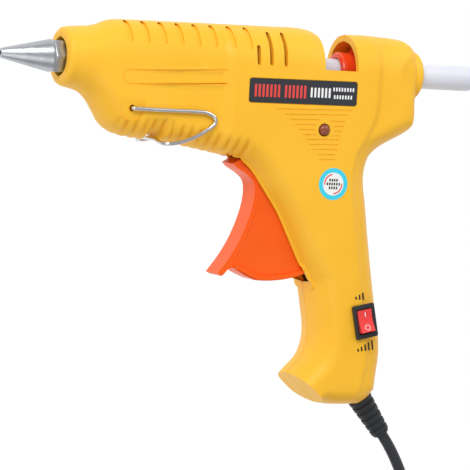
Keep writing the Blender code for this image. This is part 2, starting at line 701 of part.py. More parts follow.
    # slivers of the two surfaces that meet at the parting plane go together
    bmesh.ops.remove_doubles(bm, verts=bm.verts, dist=1e-3)
    while True:
        ears = [f for f in bm.faces
                if any(len(e.link_faces) == 1 for e in f.edges)
                and any(len(e.link_faces) > 2 for e in f.edges)]
        if not ears:
            break
        bmesh.ops.delete(bm, geom=ears, context="FACES")
    return bm


def flat(h):
    return lambda x, y: np.full(np.shape(np.atleast_1d(x)), float(h))


def groove(t):
    return lambda x, y: half_out(x, y, t)


def slot_loop(x, y0, y1, w, n=3):
    """A round-ended slot standing along Y."""
    r = w / 2
    top = [(x + r * math.cos(a), y1 - r + r * math.sin(a)) for a in (math.pi * i / n for i in range(n + 1))]
    low = [(x + r * math.cos(a),
            y0 + r + r * math.sin(a)) for a in (math.pi * (1 + i / n) for i in range(n + 1))]
    between = [0.45, 0.7] if y1 - y0 > 9 else []
    rising = [(x + r, y0 + (y1 - y0) * k) for k in between]
    falling = [(x - r, y0 + (y1 - y0) * k) for k in reversed(between)]
    return rising + top + falling + low


def side_level(x, y):
    """Height of the flat side at a point, with no rounding."""
    return float(half_width(np.array([x]), np.array([y]))[0])


HEAD_SINK = 3.2                 # how deep a screw's head pocket goes
SCREW_HOLE_R = SCREW_R + 0.32
NUT_LEVEL = 8.0                 # how far up the left half a screw's hole runs
LABEL_SINK = 0.6                # how deep the label's pocket is
PIN_BOSS_R = PIVOT_PIN_R + 2.6
PIN_SOCKET = 12.2               # half length of the pivot pin's hole


def features(side, n=12):
    """Holes, pockets and bosses of one half: (holes, outside regions, inside regions)."""
    holes = [(slot_loop(x, y0, y1, VENT_W), None, None) for x, y0, y1 in VENTS]
    holes.append((circle(*STAND_PIVOT, STAND_WIRE_D / 2 + 0.5, 10), None, None))
    outer = [(slot_loop(GROOVE_X + GROOVE_PITCH * i, *GROOVE_Y, GROOVE_W, 2), groove(GROOVE_DEPTH))
             for i in range(GROOVE_COUNT)]
    inner = [(circle(*PIVOT, PIN_BOSS_R, n), flat(TRIGGER_SLOT_HALF + 0.05)),
             (circle(*PIVOT, PIVOT_PIN_R + 0.35, 10), flat(PIN_SOCKET))]
    for x, y in SCREWS:
        inner.append((circle(x, y, BOSS_R, n), flat(0.0)))
        if side > 0:
            inner.append((circle(x, y, SCREW_HOLE_R, 8), flat(NUT_LEVEL)))
        else:
            seat = side_level(x, y) - HEAD_SINK
            outer.append((circle(x, y, BOSS_R - 0.4, n), flat(seat)))
            holes.append((circle(x, y, SCREW_HOLE_R, 8), flat(0.0), flat(seat)))
    if side > 0:
        x, y, length, height = LABEL
        pocket = rounded(length + 2 * EASY, height + 2 * EASY, 1.3, 2)
        outer.append((turned(pocket, x, y, LABEL_TILT), flat(HALF_WIDTH - LABEL_SINK)))
        holes.append((circle(*LED_POS, LED_R + 0.25, 12), None, None))
        holes.append((on_switch(box_loop(SWITCH_H / 2 - 1.0, SWITCH_W / 2 - 1.0)), None, None))
    return holes, outer, inner


def box_loop(half_x, half_y):
    return [(-half_x, -half_y), (half_x, -half_y), (half_x, half_y), (-half_x, half_y)]


def on_switch(loop):
    """A loop given along and across the switch, put where the switch is."""
    return turned(loop, *SWITCH_POS, SWITCH_TILT)


SHELL_STEP = 8.0                # spacing along the outline, wider on straight runs


def make_housing():
    for side, name in ((1, "left_housing"), (-1, "right_housing")):
        add(name, shell(side, SHELL_STEP, *features(side), gap=2.2), YELLOW)


# ------------------------------------------------------------------ nozzle and its check valve
HEX_R = NOZZLE_HEX / 2 / math.cos(math.pi / 6)
SHOULDER_X = COLLAR_X - 4.9     # where the cone ends
SPIGOT_X = -94.4                # where the spigot into the chamber starts
SPIGOT_R = 5.0
NOZZLE_END_X = -88.5
VALVE_R = 2.9                   # bore round the ball and its spring
SEAT_X = -89.9
BALL_R = 2.3
BALL_X = SEAT_X - 2.1


def make_nozzle():
    tip = NOZZLE_TIP_X
    cone = [(tip, 0), (tip, 1.9), (tip + 0.4, 2.2), (SHOULDER_X, NOZZLE_CONE_R),
            (SHOULDER_X + 0.7, NOZZLE_CONE_R),
            (SHOULDER_X + 0.7, 6.2), (SPIGOT_X, 6.2), (SPIGOT_X, SPIGOT_R), (NOZZLE_END_X, SPIGOT_R),
            (NOZZLE_END_X, 0)]
    hexagon = [(SHOULDER_X + 0.3, 0), (SHOULDER_X + 0.3, 6.9), (SHOULDER_X + 1.0, HEX_R - 0.35),
               (SPIGOT_X - 0.5, HEX_R - 0.35), (SPIGOT_X - 0.5, 0)]
    bore = [(tip - 1, 0), (tip - 1, 0.9), (tip + 3, 0.9), (SHOULDER_X + 0.9, 1.9),
            (SHOULDER_X + 2.1, VALVE_R),
            (SEAT_X - 1.5, VALVE_R), (SEAT_X, 1.7), (NOZZLE_END_X + 0.5, 1.7), (NOZZLE_END_X + 0.5, 0)]
    nozzle = add("nozzle", bm_lathe(cone, 28), ALU)
    nozzle = carve(nozzle, add("hexagon", bm_lathe(hexagon, 6, phase=math.pi / 6), ALU), "UNION")
    carve(nozzle, add("bore", bm_lathe(bore, 16), ALU))
    ball = [(-BALL_R * math.cos(a), BALL_R * math.sin(a)) for a in (math.pi * k / 8 for k in range(9))]
    put_origin(add("check_ball", bm_lathe(ball, 12, origin=(BALL_X, 0, MID)), STEEL), (BALL_X, 0, MID))
    spring = helix(SHOULDER_X + 2.7, BALL_X - BALL_R - 1.8, BALL_R - 0.2, 3.2, 9)
    add("check_spring", bm_tube(spring, 0.3, 5), STEEL)


def helix(x0, x1, r, turns, per_turn, cy=0.0):
    """Points of a coil along X, per_turn of them in each turn."""
    n = int(turns * per_turn)
    angle = 2 * math.pi * turns / n
    return [(x0 + (x1 - x0) * i / n, cy + r * math.cos(angle * i),
             MID + r * math.sin(angle * i)) for i in range(n + 1)]


# ------------------------------------------------------------------ melt chamber, heater, mountings
CHAMBER_R = COLLAR_R - WALL - 1.45
NECK_R = STICK_R + 1.4          # the chamber's inlet neck, under the sleeve
FRONT_R = STICK_R + 1.8         # the chamber's front, under the insulator
HEATER_H = 3.55
SLEEVE_R = CHAMBER_R + 0.7


def make_chamber():
    bore = STICK_R + STICK_GAP - 0.05
    add("melt_chamber", bm_lathe([(-92.6, SPIGOT_R + EASY), (-92.6, FRONT_R), (-85.4, FRONT_R),
                                  (-85.0, CHAMBER_R),
                                  (-40.4, CHAMBER_R), (-40.0, NECK_R), (-30.0, NECK_R), (-30.0, bore),
                                  (-84.5, bore),
                                  (-87.6, SPIGOT_R + EASY)], 24), ALU)
    ring_r0, ring_r1 = FRONT_R + EASY, COLLAR_R - WALL - 0.75
    add("insulator_ring", bm_lathe([(-91.6, ring_r0), (-91.6, ring_r1), (-86.0, ring_r1), (-86.0, ring_r0)],
                                   24), CERAMIC)
    heater_y = -(CHAMBER_R + EASY)
    add("heater_element", bm_box(-75, -50, heater_y - HEATER_H, heater_y, MID - 5, MID + 5), CERAMIC)
    inner = band_loop(CHAMBER_R + 0.4, CHAMBER_R + 0.4, heater_y - HEATER_H - EASY, 4.2)
    outer = band_loop(CHAMBER_R + 1.2, CHAMBER_R + 1.2, heater_y - HEATER_H - EASY - 0.8, 5.0)
    add("heater_clip", frame_x(-66.0, -59.0, outer, inner), STEEL)
    sleeve = STICK_R + STICK_GAP
    over_neck, wall, flange = NECK_R + EASY, STICK_R + 2.7, STICK_R + 4.4
    add("inlet_sleeve", bm_lathe([(-36.0, over_neck), (-36.0, SLEEVE_R), (-29.0, SLEEVE_R),
                                  (-27.5, wall),
                                  (12.6, wall), (12.6, flange), (17.0, flange), (18.0, flange - 1.0),
                                  (18.0, sleeve + 0.6),
                                  (16.5, sleeve), (-29.4, sleeve), (-29.4, over_neck)], 24), SILICONE)
    clamp = SLEEVE_R + EASY
    add("sleeve_clamp", bm_lathe([(-34.5, clamp), (-34.5, clamp + 0.7), (-31.0, clamp + 0.7),
                                  (-31.0, clamp)], 24), STEEL)


def ring_of_loops(loops):
    """A closed band: each loop is joined to the next, and the last to the first."""
    bm = bmesh.new()
    rings = [[bm.verts.new(p) for p in loop] for loop in loops]
    n = len(loops[0])
    for p, q in zip(rings, rings[1:] + rings[:1]):
        for i in range(n):
            j = (i + 1) % n
            bm.faces.new((p[i], p[j], q[j], q[i]))
    return bm


def frame_x(x0, x1, outer, inner):
    """A band round the stick's line: outlines in Y and Z, run along X."""
    return ring_of_loops([[(x, y, MID + z) for y, z in loop]
                          for x, loop in ((x0, outer), (x1, outer), (x1, inner), (x0, inner))])


def band_loop(top, half, bottom, cut):
    return [(bottom, -half + 3.0), (bottom + 3.0, -half), (top - cut, -half), (top, -half + cut),
            (top, half - cut),
            (top - cut, half), (bottom + 3.0, half), (bottom, half - 3.0)]


# ------------------------------------------------------------------ glue stick, carriage and gripper
RING_X = (34.0, 56.0)           # the carriage's ring round the stick
RING_R = STICK_R + 3.0
FLANGE_X = (43.5, 45.5)
FLANGE_R = COLLAR_R - 1.35
GRIP = (41.5, -12.2)            # the gripper's pivot
GRIP_PIN_R = 0.88
DRIVE_PIN_R = 1.5
TONGUE_HALF = 3.0
TONGUE_END = 50.0


def make_feed():
    x0, x1 = STICK_X
    add("glue_stick", bm_lathe([(x0, 0), (x0, STICK_R - 1.2), (x0 + 1.2, STICK_R), (x1 - 2.0, STICK_R),
                                (x1 - 0.7, STICK_R - 0.8), (x1, STICK_R - 2.4), (x1, 0)], 24), GLUE)
    x0, x1 = RING_X
    bore = STICK_R + STICK_GAP + 0.1
    ring = [(x0, bore), (x0, RING_R - 0.6), (x0 + 0.8, RING_R), (FLANGE_X[0], RING_R),
            (FLANGE_X[0], FLANGE_R),
            (FLANGE_X[1], FLANGE_R), (FLANGE_X[1], RING_R), (x1, RING_R), (x1, bore)]
    tongue = [(PIVOT[0] - 4.5, PIN_Y - 3.0), (TONGUE_END, PIN_Y - 3.0),
              (TONGUE_END, 0.8 - RING_R - 0.9 + EASY),
              (x0 + 0.6, 0.8 - RING_R - 0.9 + EASY), (x0 + 0.6, PIN_Y + 2.2), (PIVOT[0] - 4.5, PIN_Y + 2.2)]
    tongue = [(x, min(y, 0.9 - RING_R) if y > PIN_Y + 2.5 else y) for x, y in tongue]
    carriage = add("carriage", bm_lathe(ring, 24), RED)
    carriage = carve(carriage, prism("tongue", tongue, TONGUE_HALF), "UNION")
    carriage = carve(carriage, prism("slot", [(37.0, PIN_Y - 4), (46.5, PIN_Y - 4), (46.5, -4.0),
                                              (37.0, -4.0)], 1.7))
    carriage = carve(carriage, prism("hole", circle(PIVOT[0], PIN_Y, DRIVE_PIN_R + RUNNING, 16), 4))
    carve(carriage, prism("hole", circle(*GRIP, GRIP_PIN_R + RUNNING, 12), 4))
    prism("drive_pin", circle(PIVOT[0], PIN_Y, DRIVE_PIN_R, 16), TRIGGER_W / 2 + EASY, STEEL)
    prism("gripper_pin", circle(*GRIP, GRIP_PIN_R, 12), TONGUE_HALF - 0.1, STEEL)
    gx, gy = GRIP
    bite = -STICK_R - 0.45
    jaw = [(gx - 2.2, gy - 3.2), (gx + 2.2, gy - 3.2), (gx + 2.6, gy), (gx + 2.2, bite - 1.2),
           (gx + 0.6, bite),
           (gx - 1.8, bite), (gx - 2.6, gy)]
    gripper = carve(prism("gripper", jaw, 1.3, STEEL),
                    prism("hole", circle(*GRIP, GRIP_PIN_R + 0.1, 12), 4))
    put_origin(gripper, (*GRIP, MID))
    end = REAR_WALL_X - WALL - 0.6
    coils = helix(TONGUE_END + 2.4, end - 1.4, 2.3, 8.0, 9, cy=PIN_Y)
    add("return_spring", bm_tube([(TONGUE_END + 1.0, PIN_Y, MID)] + coils + [(end, PIN_Y, MID)], 0.4, 5),
        STEEL)


def prism(name, loop, half, mat=RED):
    """A plate half thick either side of the parting plane."""
    return add(name, bm_prism(loop, MID - half, MID + half), mat)


# ------------------------------------------------------------------ trigger
TRIGGER_WALL = 1.8
HUB_R = 5.0
FORK_HALF = DRIVE_PIN_R + 0.35  # half width of the slot that holds the drive pin


def rim_arc(r, x0, x1, n):
    """Points of an arc about the trigger's pivot, below it."""
    a0, a1 = (math.asin((x - PIVOT[0]) / r) for x in (x0, x1))
    angles = [a0 + (a1 - a0) * k / n for k in range(n + 1)]
    return [(PIVOT[0] + r * math.sin(a), PIVOT[1] - r * math.cos(a)) for a in angles]


def make_trigger():
    px, py = PIVOT
    half = TRIGGER_W / 2
    pad = spline([(-15.2, -42.2), (-13.4, -43.9), (-8.6, -46.6), (-5.2, -49.6), (-4.2, -53.5),
                  (-4.6, -59.5), (-6.4, -66.5),
                  (-9.9, -75.3), (-14.3, -83.0), (-19.6, -90.2)], 6.5)
    pad += [(-17.6, -91.2), (-13.4, -87.6), (-7.0, -90.4)]
    back = [(22.6, -85.6), (17.5, -72.0), (13.2, -55.0), (9.0, -44.0), (8.5, py), (7.2, py + 5.5),
            (7.0, PIN_Y + 2.0),
            (5.9, PIN_Y + 3.6), (0.1, PIN_Y + 3.6), (-1.0, PIN_Y + 2.0), (-1.2, py + 5.5), (-4.5, py + 0.5),
            (-10.0, -38.9)]
    trigger = prism("trigger", pad + rim_arc(TRIGGER_RIM_R, -1.5, 23.4, 5) + back, half, ORANGE)
    inset = spline([(-8.5, -42.8), (-4.4, -45.6), (-2.0, -49.0), (-1.5, -53.5), (-1.9, -59.5),
                    (-3.7, -66.5), (-7.2, -75.3),
                    (-11.0, -83.2)], 7.0)
    hollow = inset + [(-8.0, -86.6)] + rim_arc(TRIGGER_RIM_R - 2.6, -2.0, 28.0, 4)
    hollow += [(32.0, -70.0), (25.0, PIN_Y + 8.5), (-8.0, PIN_Y + 8.5), (-8.0, -38.0)]
    trigger = carve(trigger, prism("hollow", hollow, half - TRIGGER_WALL))
    trigger = carve(trigger, prism("hub", circle(*PIVOT, HUB_R, 20), half - 0.2), "UNION")
    rim = [(-12.4, -87.3), (-7.0, -89.7)] + rim_arc(TRIGGER_RIM_R - 0.4, -1.0, 22.6, 5)
    rim += rim_arc(TRIGGER_RIM_R - 2.2, -1.0, 22.6, 5)[::-1] + [(-7.0, -87.6), (-11.6, -85.6)]
    trigger = carve(trigger, prism("rim", rim, half + 1.1), "UNION")
    trigger = carve(trigger, prism("hole", circle(*PIVOT, PIVOT_PIN_R + RUNNING, 16), 2 * half))
    fork = [(px - FORK_HALF, PIN_Y - 3.2), (px + FORK_HALF, PIN_Y - 3.2), (px + FORK_HALF, PIN_Y + 8.5),
            (px - FORK_HALF, PIN_Y + 8.5)]
    trigger = carve(trigger, prism("fork", fork, 2 * half))
    put_origin(trigger, (*PIVOT, MID))
    prism("trigger_pin", circle(*PIVOT, PIVOT_PIN_R, 16), PIN_SOCKET - EASY, STEEL)


# ------------------------------------------------------------------ wire stand
def make_stand():
    r = STAND_WIRE_D / 2
    z = MID + SEAM + FRONT_HALF_WIDTH + EASY + r
    x, y = STAND_PIVOT
    bx, by = STAND_CROSSBAR
    flat_run = [(x + 1.4, y - 0.1), (x + 17.0, y - 0.2), (x + 31.5, y - 0.2), (x + 35.0, y - 0.7),
                (x + 37.6, y - 1.9),
                (x + 38.8, y - 3.6), (x + 38.0, y - 5.6), (x + 34.4, y - 8.3), (x + 29.5, y - 11.1),
                (x + 24.9, y - 13.0),
                (x + 20.3, y - 14.1)]
    leg = [Vector((x, y, z - 4.2)), Vector((x, y, z - 1.4)), Vector((x + 0.4, y, z - 0.4))]
    leg += [Vector((a, b, z)) for a, b in flat_run]
    leg += [Vector((bx + 3.2, by - 1.5, z - 0.3)), Vector((bx + 1.4, by - 1.5, z - 1.8)),
            Vector((bx + 0.3, by - 0.9, z - 4.0)),
            Vector((bx, by, z - 7.0))]
    other = [Vector((q.x, q.y, 2 * MID - q.z)) for q in leg[::-1]]
    put_origin(add("wire_stand", bm_tube(leg + other, r, 8), STEEL), (x, y, MID))


# ------------------------------------------------------------------ label plate, indicator
def make_label_and_lamp():
    x, y, length, height = LABEL
    floor = TOP - LABEL_SINK
    add("label_plate", bm_prism(turned(rounded(length, height, 1.0, 3), x, y, LABEL_TILT), floor + EASY,
                                TOP - 0.05), LABEL_FOIL)
    r = LED_R - 0.15
    crown = [(TOP + 0.05 + 1.6 * math.sin(a),
              r * math.cos(a)) for a in (math.pi / 2 * k / 4 for k in range(4))]
    dome = [(TOP - 6.8, 0), (TOP - 6.8, r)] + crown + [(TOP + 1.65, 0)]
    add("led_lens", bm_lathe(dome, 16, origin=(*LED_POS, 0), axis=(0, 0, 1)), LENS)
    lx, ly = LED_POS
    add("indicator_board", bm_box(lx - 6, lx + 5, ly - 4, ly + 5, TOP - 8.3, TOP - 7.1), BOARD)


# ------------------------------------------------------------------ rocker switch
BEZEL_Z = TOP + EASY
ROCKER_Z = BEZEL_Z + 0.2        # height of the rocker's axis


def make_switch():
    half_h, half_w = SWITCH_H / 2 - 1.3, SWITCH_W / 2 - 1.3
    body = add("switch_body", bm_prism(on_switch(rounded(SWITCH_H, SWITCH_W, 0.8, 2)), BEZEL_Z,
                                       BEZEL_Z + 1.5), BLACK)
    body = carve(body, add("box", bm_prism(on_switch(box_loop(half_h, half_w)), TOP - 9.3, BEZEL_Z + 0.6),
                           BLACK), "UNION")
    pocket = on_switch(box_loop(half_h - 0.7, half_w - 0.3))
    carve(body, add("pocket", bm_prism(pocket, TOP - 4.7, BEZEL_Z + 5), BLACK))
    rocker = add("switch_rocker", bm_rocker(half_h - 1.2, half_w - 0.3 - 0.35), RED)
    put_origin(rocker, (*SWITCH_POS, ROCKER_Z))


def bm_rocker(half_h, half_w):
    """The rocker in its rest tilt. Its profile is (distance along the switch, height above the axis)."""
    crown = [(half_h, 2.7), (half_h / 2, 2.0), (0.0, 1.75), (-half_h / 2, 2.0), (-half_h, 2.7)]
    profile = [(-half_h, 0.2), (-0.68 * half_h, -3.2), (0.68 * half_h, -3.2), (half_h, 0.2)] + crown
    tilted = turned(profile, 0, 0, ROCKER_TILT)
    bm = bmesh.new()
    rings = []
    for w in (-half_w, half_w):
        placed = on_switch([(a, w) for a, _ in tilted])
        rings.append([bm.verts.new((x, y, ROCKER_Z + b)) for (x, y), (_, b) in zip(placed, tilted)])
    n = len(profile)
    bm.faces.new(rings[0][::-1])
    bm.faces.new(rings[1])
    for i in range(n):
        j = (i + 1) % n
        bm.faces.new((rings[0][i], rings[0][j], rings[1][j], rings[1][i]))
    return bm


# ------------------------------------------------------------------ strain relief, clamp, screws, wires
CORD_AXIS = (math.cos(math.radians(RELIEF_ANGLE)), math.sin(math.radians(RELIEF_ANGLE)), 0.0)
RIBS = 6
RELIEF_FLANGE_R = RELIEF_NECK_R + 2.0


def along_relief(t):
    """A point of the cord's line, t beyond the housing's wall."""
    return (RELIEF_ROOT[0] + CORD_AXIS[0] * t, RELIEF_ROOT[1] + CORD_AXIS[1] * t, MID)


def make_relief():
    hole = CORD_R + EASY
    start = 0.7
    profile = [(-8.4, hole), (-8.4, RELIEF_FLANGE_R), (-6.6, RELIEF_FLANGE_R), (-6.6, RELIEF_NECK_R),
               (start, RELIEF_NECK_R)]
    pitch = (RELIEF_LENGTH - start) / RIBS
    taper = (RELIEF_R1 - RELIEF_R0) / RIBS
    for k in range(RIBS):
        t = start + pitch * k
        r0 = RELIEF_R0 + taper * k
        r1 = RELIEF_R0 + taper * (k + 0.7)
        profile += [(t, r0), (t + 0.7 * pitch, r1)]
        if k < RIBS - 1:
            profile += [(t + 0.75 * pitch, r1 - 0.8), (t + pitch - 0.05, r1 - 0.85)]
    profile += [(RELIEF_LENGTH - 0.2, RELIEF_R1 - 0.5), (RELIEF_LENGTH, hole)]
    add("strain_relief", bm_lathe(profile, 20, origin=(*RELIEF_ROOT, MID), axis=CORD_AXIS), RUBBER)
    cx, cy, _ = along_relief(-14.0)
    bar = turned(box_loop(2.4, 6.4), cx, cy, RELIEF_ANGLE)
    add("cord_clamp", bm_prism(bar, MID + CORD_R + 0.4, MID + CORD_R + 2.4), BLACK)


WIRE_R = 0.9
HANDLE_TO_HEATER = [(32.0, -48, 9.4), (23.0, -37.5, 9.4), (12.0, -29, 9.4), (-2.0, -25.5, 9.2),
                    (-12.0, -21.5, 9.0),
                    # x, y, distance from the parting plane
                    (-30, -17.5, 8.0), (-42, -14.5, 5.0), (-49.4, -11.6, 3.0)]
LIVE = [(45.5, -99.5, 7.6), (43.0, -92, 9.3), (39.5, -78, 9.4), (37.0, -62, 9.4)]
NEUTRAL = [(44.5, -126.0, 4.5), (42.6, -116, 8.4), (41.2, -100, 9.3), (38.8, -78, 9.4), (36.5, -62, 9.4)]


def make_wires():
    for name, start, side, mat in (("live_wire", LIVE, 1, RED), ("neutral_wire", NEUTRAL, -1, BLACK)):
        route = [(x, y, MID + side * away) for x, y, away in start + HANDLE_TO_HEATER]
        add(name, bm_tube(route, WIRE_R, 6), mat)


def make_screws():
    for k, (x, y) in enumerate(SCREWS):
        head = MID - (side_level(x, y) - HEAD_SINK) - 0.4
        length = MID + NUT_LEVEL - 0.8 - head + 2.0
        profile = [(0, 0), (0, 2.4), (1.6, 2.4), (1.6, SCREW_R), (length, SCREW_R), (length, 0)]
        screw = bm_lathe(profile, 10, origin=(x, y, head - 2.0), axis=(0, 0, 1))
        add("housing_screw_%d" % (k + 1), screw, STEEL)


# ------------------------------------------------------------------ the mains cord, its coil and its plug
FLOOR_GAP = 0.2
# three layers, each lying between the turns below
COIL_TOP = FLOOR_GAP + 2 * CORD_R * (1 + math.sqrt(3))
LAID = FLOOR_GAP + CORD_R + 0.05                            # height of a cord's middle on the floor
PLUG_Y = -266.6
PLUG_Z = FLOOR_GAP + PLUG_THICKNESS / 2


def smooth_route(route, step):
    """Evenly spaced points of a smooth curve through the route, about step apart."""
    p = [np.array(q, float) for q in route]
    p = [2 * p[0] - p[1]] + p + [2 * p[-1] - p[-2]]
    fine = []
    for a, b, c, d in zip(p, p[1:], p[2:], p[3:]):
        for s in np.linspace(0, 1, 12, endpoint=False):
            bend = (2 * a - 5 * b + 4 * c - d) * s * s
            fine.append(0.5 * (2 * b + (c - a) * s + bend + (3 * b - a - 3 * c + d) * s ** 3))
    fine = np.array(fine + [p[-2]])
    run = np.concatenate([[0], np.cumsum(np.linalg.norm(np.diff(fine, axis=0), axis=1))])
    at = np.linspace(0, run[-1], max(3, int(round(run[-1] / step))) + 1)
    return np.stack([np.interp(at, run, fine[:, k]) for k in range(3)], 1)


def cord_tube(name, route):
    """A free cord along the route."""
    points = smooth_route(route, 4.4 * CORD_R) * 0.001
    curve = bpy.data.curves.new(name, "CURVE")
    curve.dimensions = "3D"
    curve.bevel_depth = CORD_R * 0.001
    curve.bevel_resolution = 2
    curve.use_fill_caps = True
    line = curve.splines.new("POLY")
    line.points.add(len(points) - 1)
    for point, at in zip(line.points, points):
        point.co = (*at, 1.0)
    cord = bpy.data.objects.new(name, curve)
    bpy.context.scene.collection.objects.link(cord)
    curve.materials.append(material(*RUBBER))


def make_cord():
    fall = MID - LAID            # how far the cord comes down from the handle to the floor
    cord_tube("mains_cord",
              [along_relief(-16), along_relief(0), along_relief(12), along_relief(RELIEF_LENGTH),
                             (74.9, -168.0, LAID + 0.93 * fall), (81.2, -177.0, LAID + 0.74 * fall),
                             (87.8, -187.2, LAID + 0.44 * fall), (93.6, -198.0, LAID + 0.16 * fall),
                             (97.2, -208.0, LAID + 0.02 * fall), (97.9, -211.6, LAID)])
    cord_tube("cord_tail", [(46.5, -265.3, LAID), (38.0, PLUG_Y + 0.6, LAID + 0.65), (30.0, PLUG_Y + 0.1,
                                                            LAID + 2.1),
                            (22.0, PLUG_Y, PLUG_Z - 0.4), (15.8, PLUG_Y, PLUG_Z)])


def make_coil():
    cx, cy = COIL_AT
    edge = 1.5
    profile = [(FLOOR_GAP, COIL_R0 + edge), (FLOOR_GAP, COIL_R1 - edge), (FLOOR_GAP + edge, COIL_R1),
               (COIL_TOP - edge, COIL_R1), (COIL_TOP, COIL_R1 - edge), (COIL_TOP, COIL_R0 + edge),
               (COIL_TOP - edge, COIL_R0), (FLOOR_GAP + edge, COIL_R0)]
    coil = add("cord_coil", bm_lathe(profile, 32, origin=(cx, cy, 0), axis=(0, 0, 1)), RUBBER)
    notch = bm_box(cx - COIL_R1 - 3, cx - COIL_R0 + 3, cy - 4.5, cy + 4.5, -2, 1.5)
    carve(coil, add("notch", notch, RUBBER))
    x0, x1 = cx - COIL_R1 - 0.5, cx - COIL_R0 + 0.6

    def loop(out):
        low = FLOOR_GAP - 0.05 + 1.0 - out
        high = COIL_TOP + EASY + out
        return [(x0 - out, low), (x1 + out, low), (x1 + out, high), (x0 - out, high)]

    band = [(cy - 4.0, loop(1.0)), (cy + 4.0, loop(1.0)), (cy + 4.0, loop(0.0)), (cy - 4.0, loop(0.0))]
    add("coil_tie", ring_of_loops([[(x, y, z) for x, z in points] for y, points in band]), BLACK)


def make_plug():
    half = 13.0
    outline_half = [(15.2, 4.5), (8.0, 9.5), (-6.0, half), (-20.0, half)]
    loop = [(x, PLUG_Y - w) for x, w in outline_half] + [(x, PLUG_Y + w) for x, w in reversed(outline_half)]
    add("plug", bm_prism(loop, FLOOR_GAP, FLOOR_GAP + PLUG_THICKNESS), BLACK)
    for k, across in enumerate((-9.3, 9.3)):
        pin = bm_lathe([(0, 0), (0, 2.0), (17.5, 2.0), (19.0, 1.0), (19.0, 0)], 12,
                       origin=(-20.3, PLUG_Y + across, PLUG_Z), axis=(-1, 0, 0))
        add("plug_pin_%d" % (k + 1), pin, BRASS)


make_housing()
make_nozzle()
make_chamber()
make_feed()
make_trigger()
make_stand()
make_label_and_lamp()
make_switch()
make_relief()
make_wires()
make_screws()
make_cord()
make_coil()
make_plug()
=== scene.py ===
"""Hot-melt glue gun on its side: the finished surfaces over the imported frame, in the frame's own axes.

Lengths are worked out in millimetres and scaled once, in mesh_piece().
"""
import math
import bpy
import bmesh
import numpy as np
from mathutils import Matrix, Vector
from mathutils.geometry import delaunay_2d_cdt


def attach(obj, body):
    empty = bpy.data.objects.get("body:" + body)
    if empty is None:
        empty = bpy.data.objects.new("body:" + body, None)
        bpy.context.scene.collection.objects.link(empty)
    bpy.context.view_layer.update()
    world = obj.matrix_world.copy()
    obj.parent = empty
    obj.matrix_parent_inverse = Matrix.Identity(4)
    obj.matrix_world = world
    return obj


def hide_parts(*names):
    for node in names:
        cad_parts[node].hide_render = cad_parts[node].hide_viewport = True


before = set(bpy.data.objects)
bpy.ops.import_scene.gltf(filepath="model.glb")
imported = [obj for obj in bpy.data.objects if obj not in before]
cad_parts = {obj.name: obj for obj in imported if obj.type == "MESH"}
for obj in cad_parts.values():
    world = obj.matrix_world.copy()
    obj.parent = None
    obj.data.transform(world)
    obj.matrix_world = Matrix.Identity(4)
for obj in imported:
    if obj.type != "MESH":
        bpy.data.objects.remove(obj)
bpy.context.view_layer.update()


# ---------------------------------------------------------------- driving dimensions, mm (as the frame's)
HALF_WIDTH = 16.0                       # half thickness of the housing at the side panels
FRONT_STEP = 2.1                        # how much thinner each side is in front of the label
REAR_STEP = 1.3                         # how much thinner each side is behind the crease
WALL = 2.8                              # housing wall
SEAM = 0.15                             # half of the gap at the parting plane
STICK_D = 11.2                          # glue stick
STICK_X = (-52.0, 102.4)                # its melted end and its tail
COLLAR_R = 12.85                        # front collar, outside
COLLAR_X = -97.0                        # front face of the collar
INLET_X = 73.8                          # back face of the inlet boss
REAR_WALL_X = 71.6                      # back wall round the boss
WINDOW_X0 = 21.5                        # load window, front edge
WINDOW_X1 = 37.7                        # load window, back edge
WINDOW_Y = 0.7                          # load window, lower edge
GROOVE_X = -69.6                        # first of the closed grooves along the top
GROOVE_PITCH = 7.9
GROOVE_COUNT = 8
GROOVE_Y = (7.6, 16.9)
GROOVE_W = 2.3
GROOVE_DEPTH = 0.8
VENTS = [(-10.5, 1.2, 9.8), (-4.5, 1.2, 15.6), (2.4, 1.0, 15.7)]     # open slots: x, lower and upper end
VENT_W = 1.7
TRIGGER_W = 12.0                        # trigger, across
PIVOT = (3.0, -35.5)                    # trigger pivot
PIVOT_PIN_R = 2.0
ARM = 22.0                              # trigger pivot to the carriage's drive pin
TRIGGER_RIM_R = 57.3                    # the trigger's lower rim, about its pivot
STAND_PIVOT = (-68.0, -20.0)
STAND_WIRE_D = 1.8
STAND_CROSSBAR = (-54.0, -33.0)         # where the stand's wire passes under the belly
NOZZLE_TIP_X = -123.8
NOZZLE_CONE_R = 7.0
NOZZLE_HEX = 14.0                       # across flats
LABEL = (11.5, -9.4, 51.9, 10.3)        # centre x, y, length, height
LABEL_TILT = 0.6                        # degrees
LED_POS = (22.7, -25.4)
LED_R = 2.6
SWITCH_POS = (48.2, -108.6)
SWITCH_W = 10.6                         # bezel, across the handle
SWITCH_H = 15.0                         # bezel, along the handle
SWITCH_TILT = -77.2                     # degrees from X to the bezel's long side
ROCKER_TILT = 8.0                       # degrees, either way from level
CORD_R = 2.5
RELIEF_ROOT = (56.3, -143.9)            # where the strain relief leaves the housing
RELIEF_ANGLE = -52.4                    # degrees, the way the cord leaves
RELIEF_LENGTH = 21.0
SCREWS = [(-52.0, -25.5), (-13.0, -29.0), (62.0, -21.5), (45.0, -66.0), (31.5, -136.5)]
SCREW_R = 1.4
BOSS_R = 3.4
COIL_AT = (66.0, -232.0)                # spare cord, wound up
COIL_R0 = 20.0
COIL_R1 = 35.0
PLUG_THICKNESS = 13.7
RUNNING = 0.12                          # round a pin that turns
EASY = 0.3                              # between neighbours that don't touch
ROOMY = 0.5                             # round the trigger in its slot
STICK_GAP = 0.4                         # round the glue stick
MID = HALF_WIDTH + SEAM                 # height of the parting plane
TOP = MID + SEAM + HALF_WIDTH           # the left side panel
FRONT_HALF_WIDTH = HALF_WIDTH - FRONT_STEP
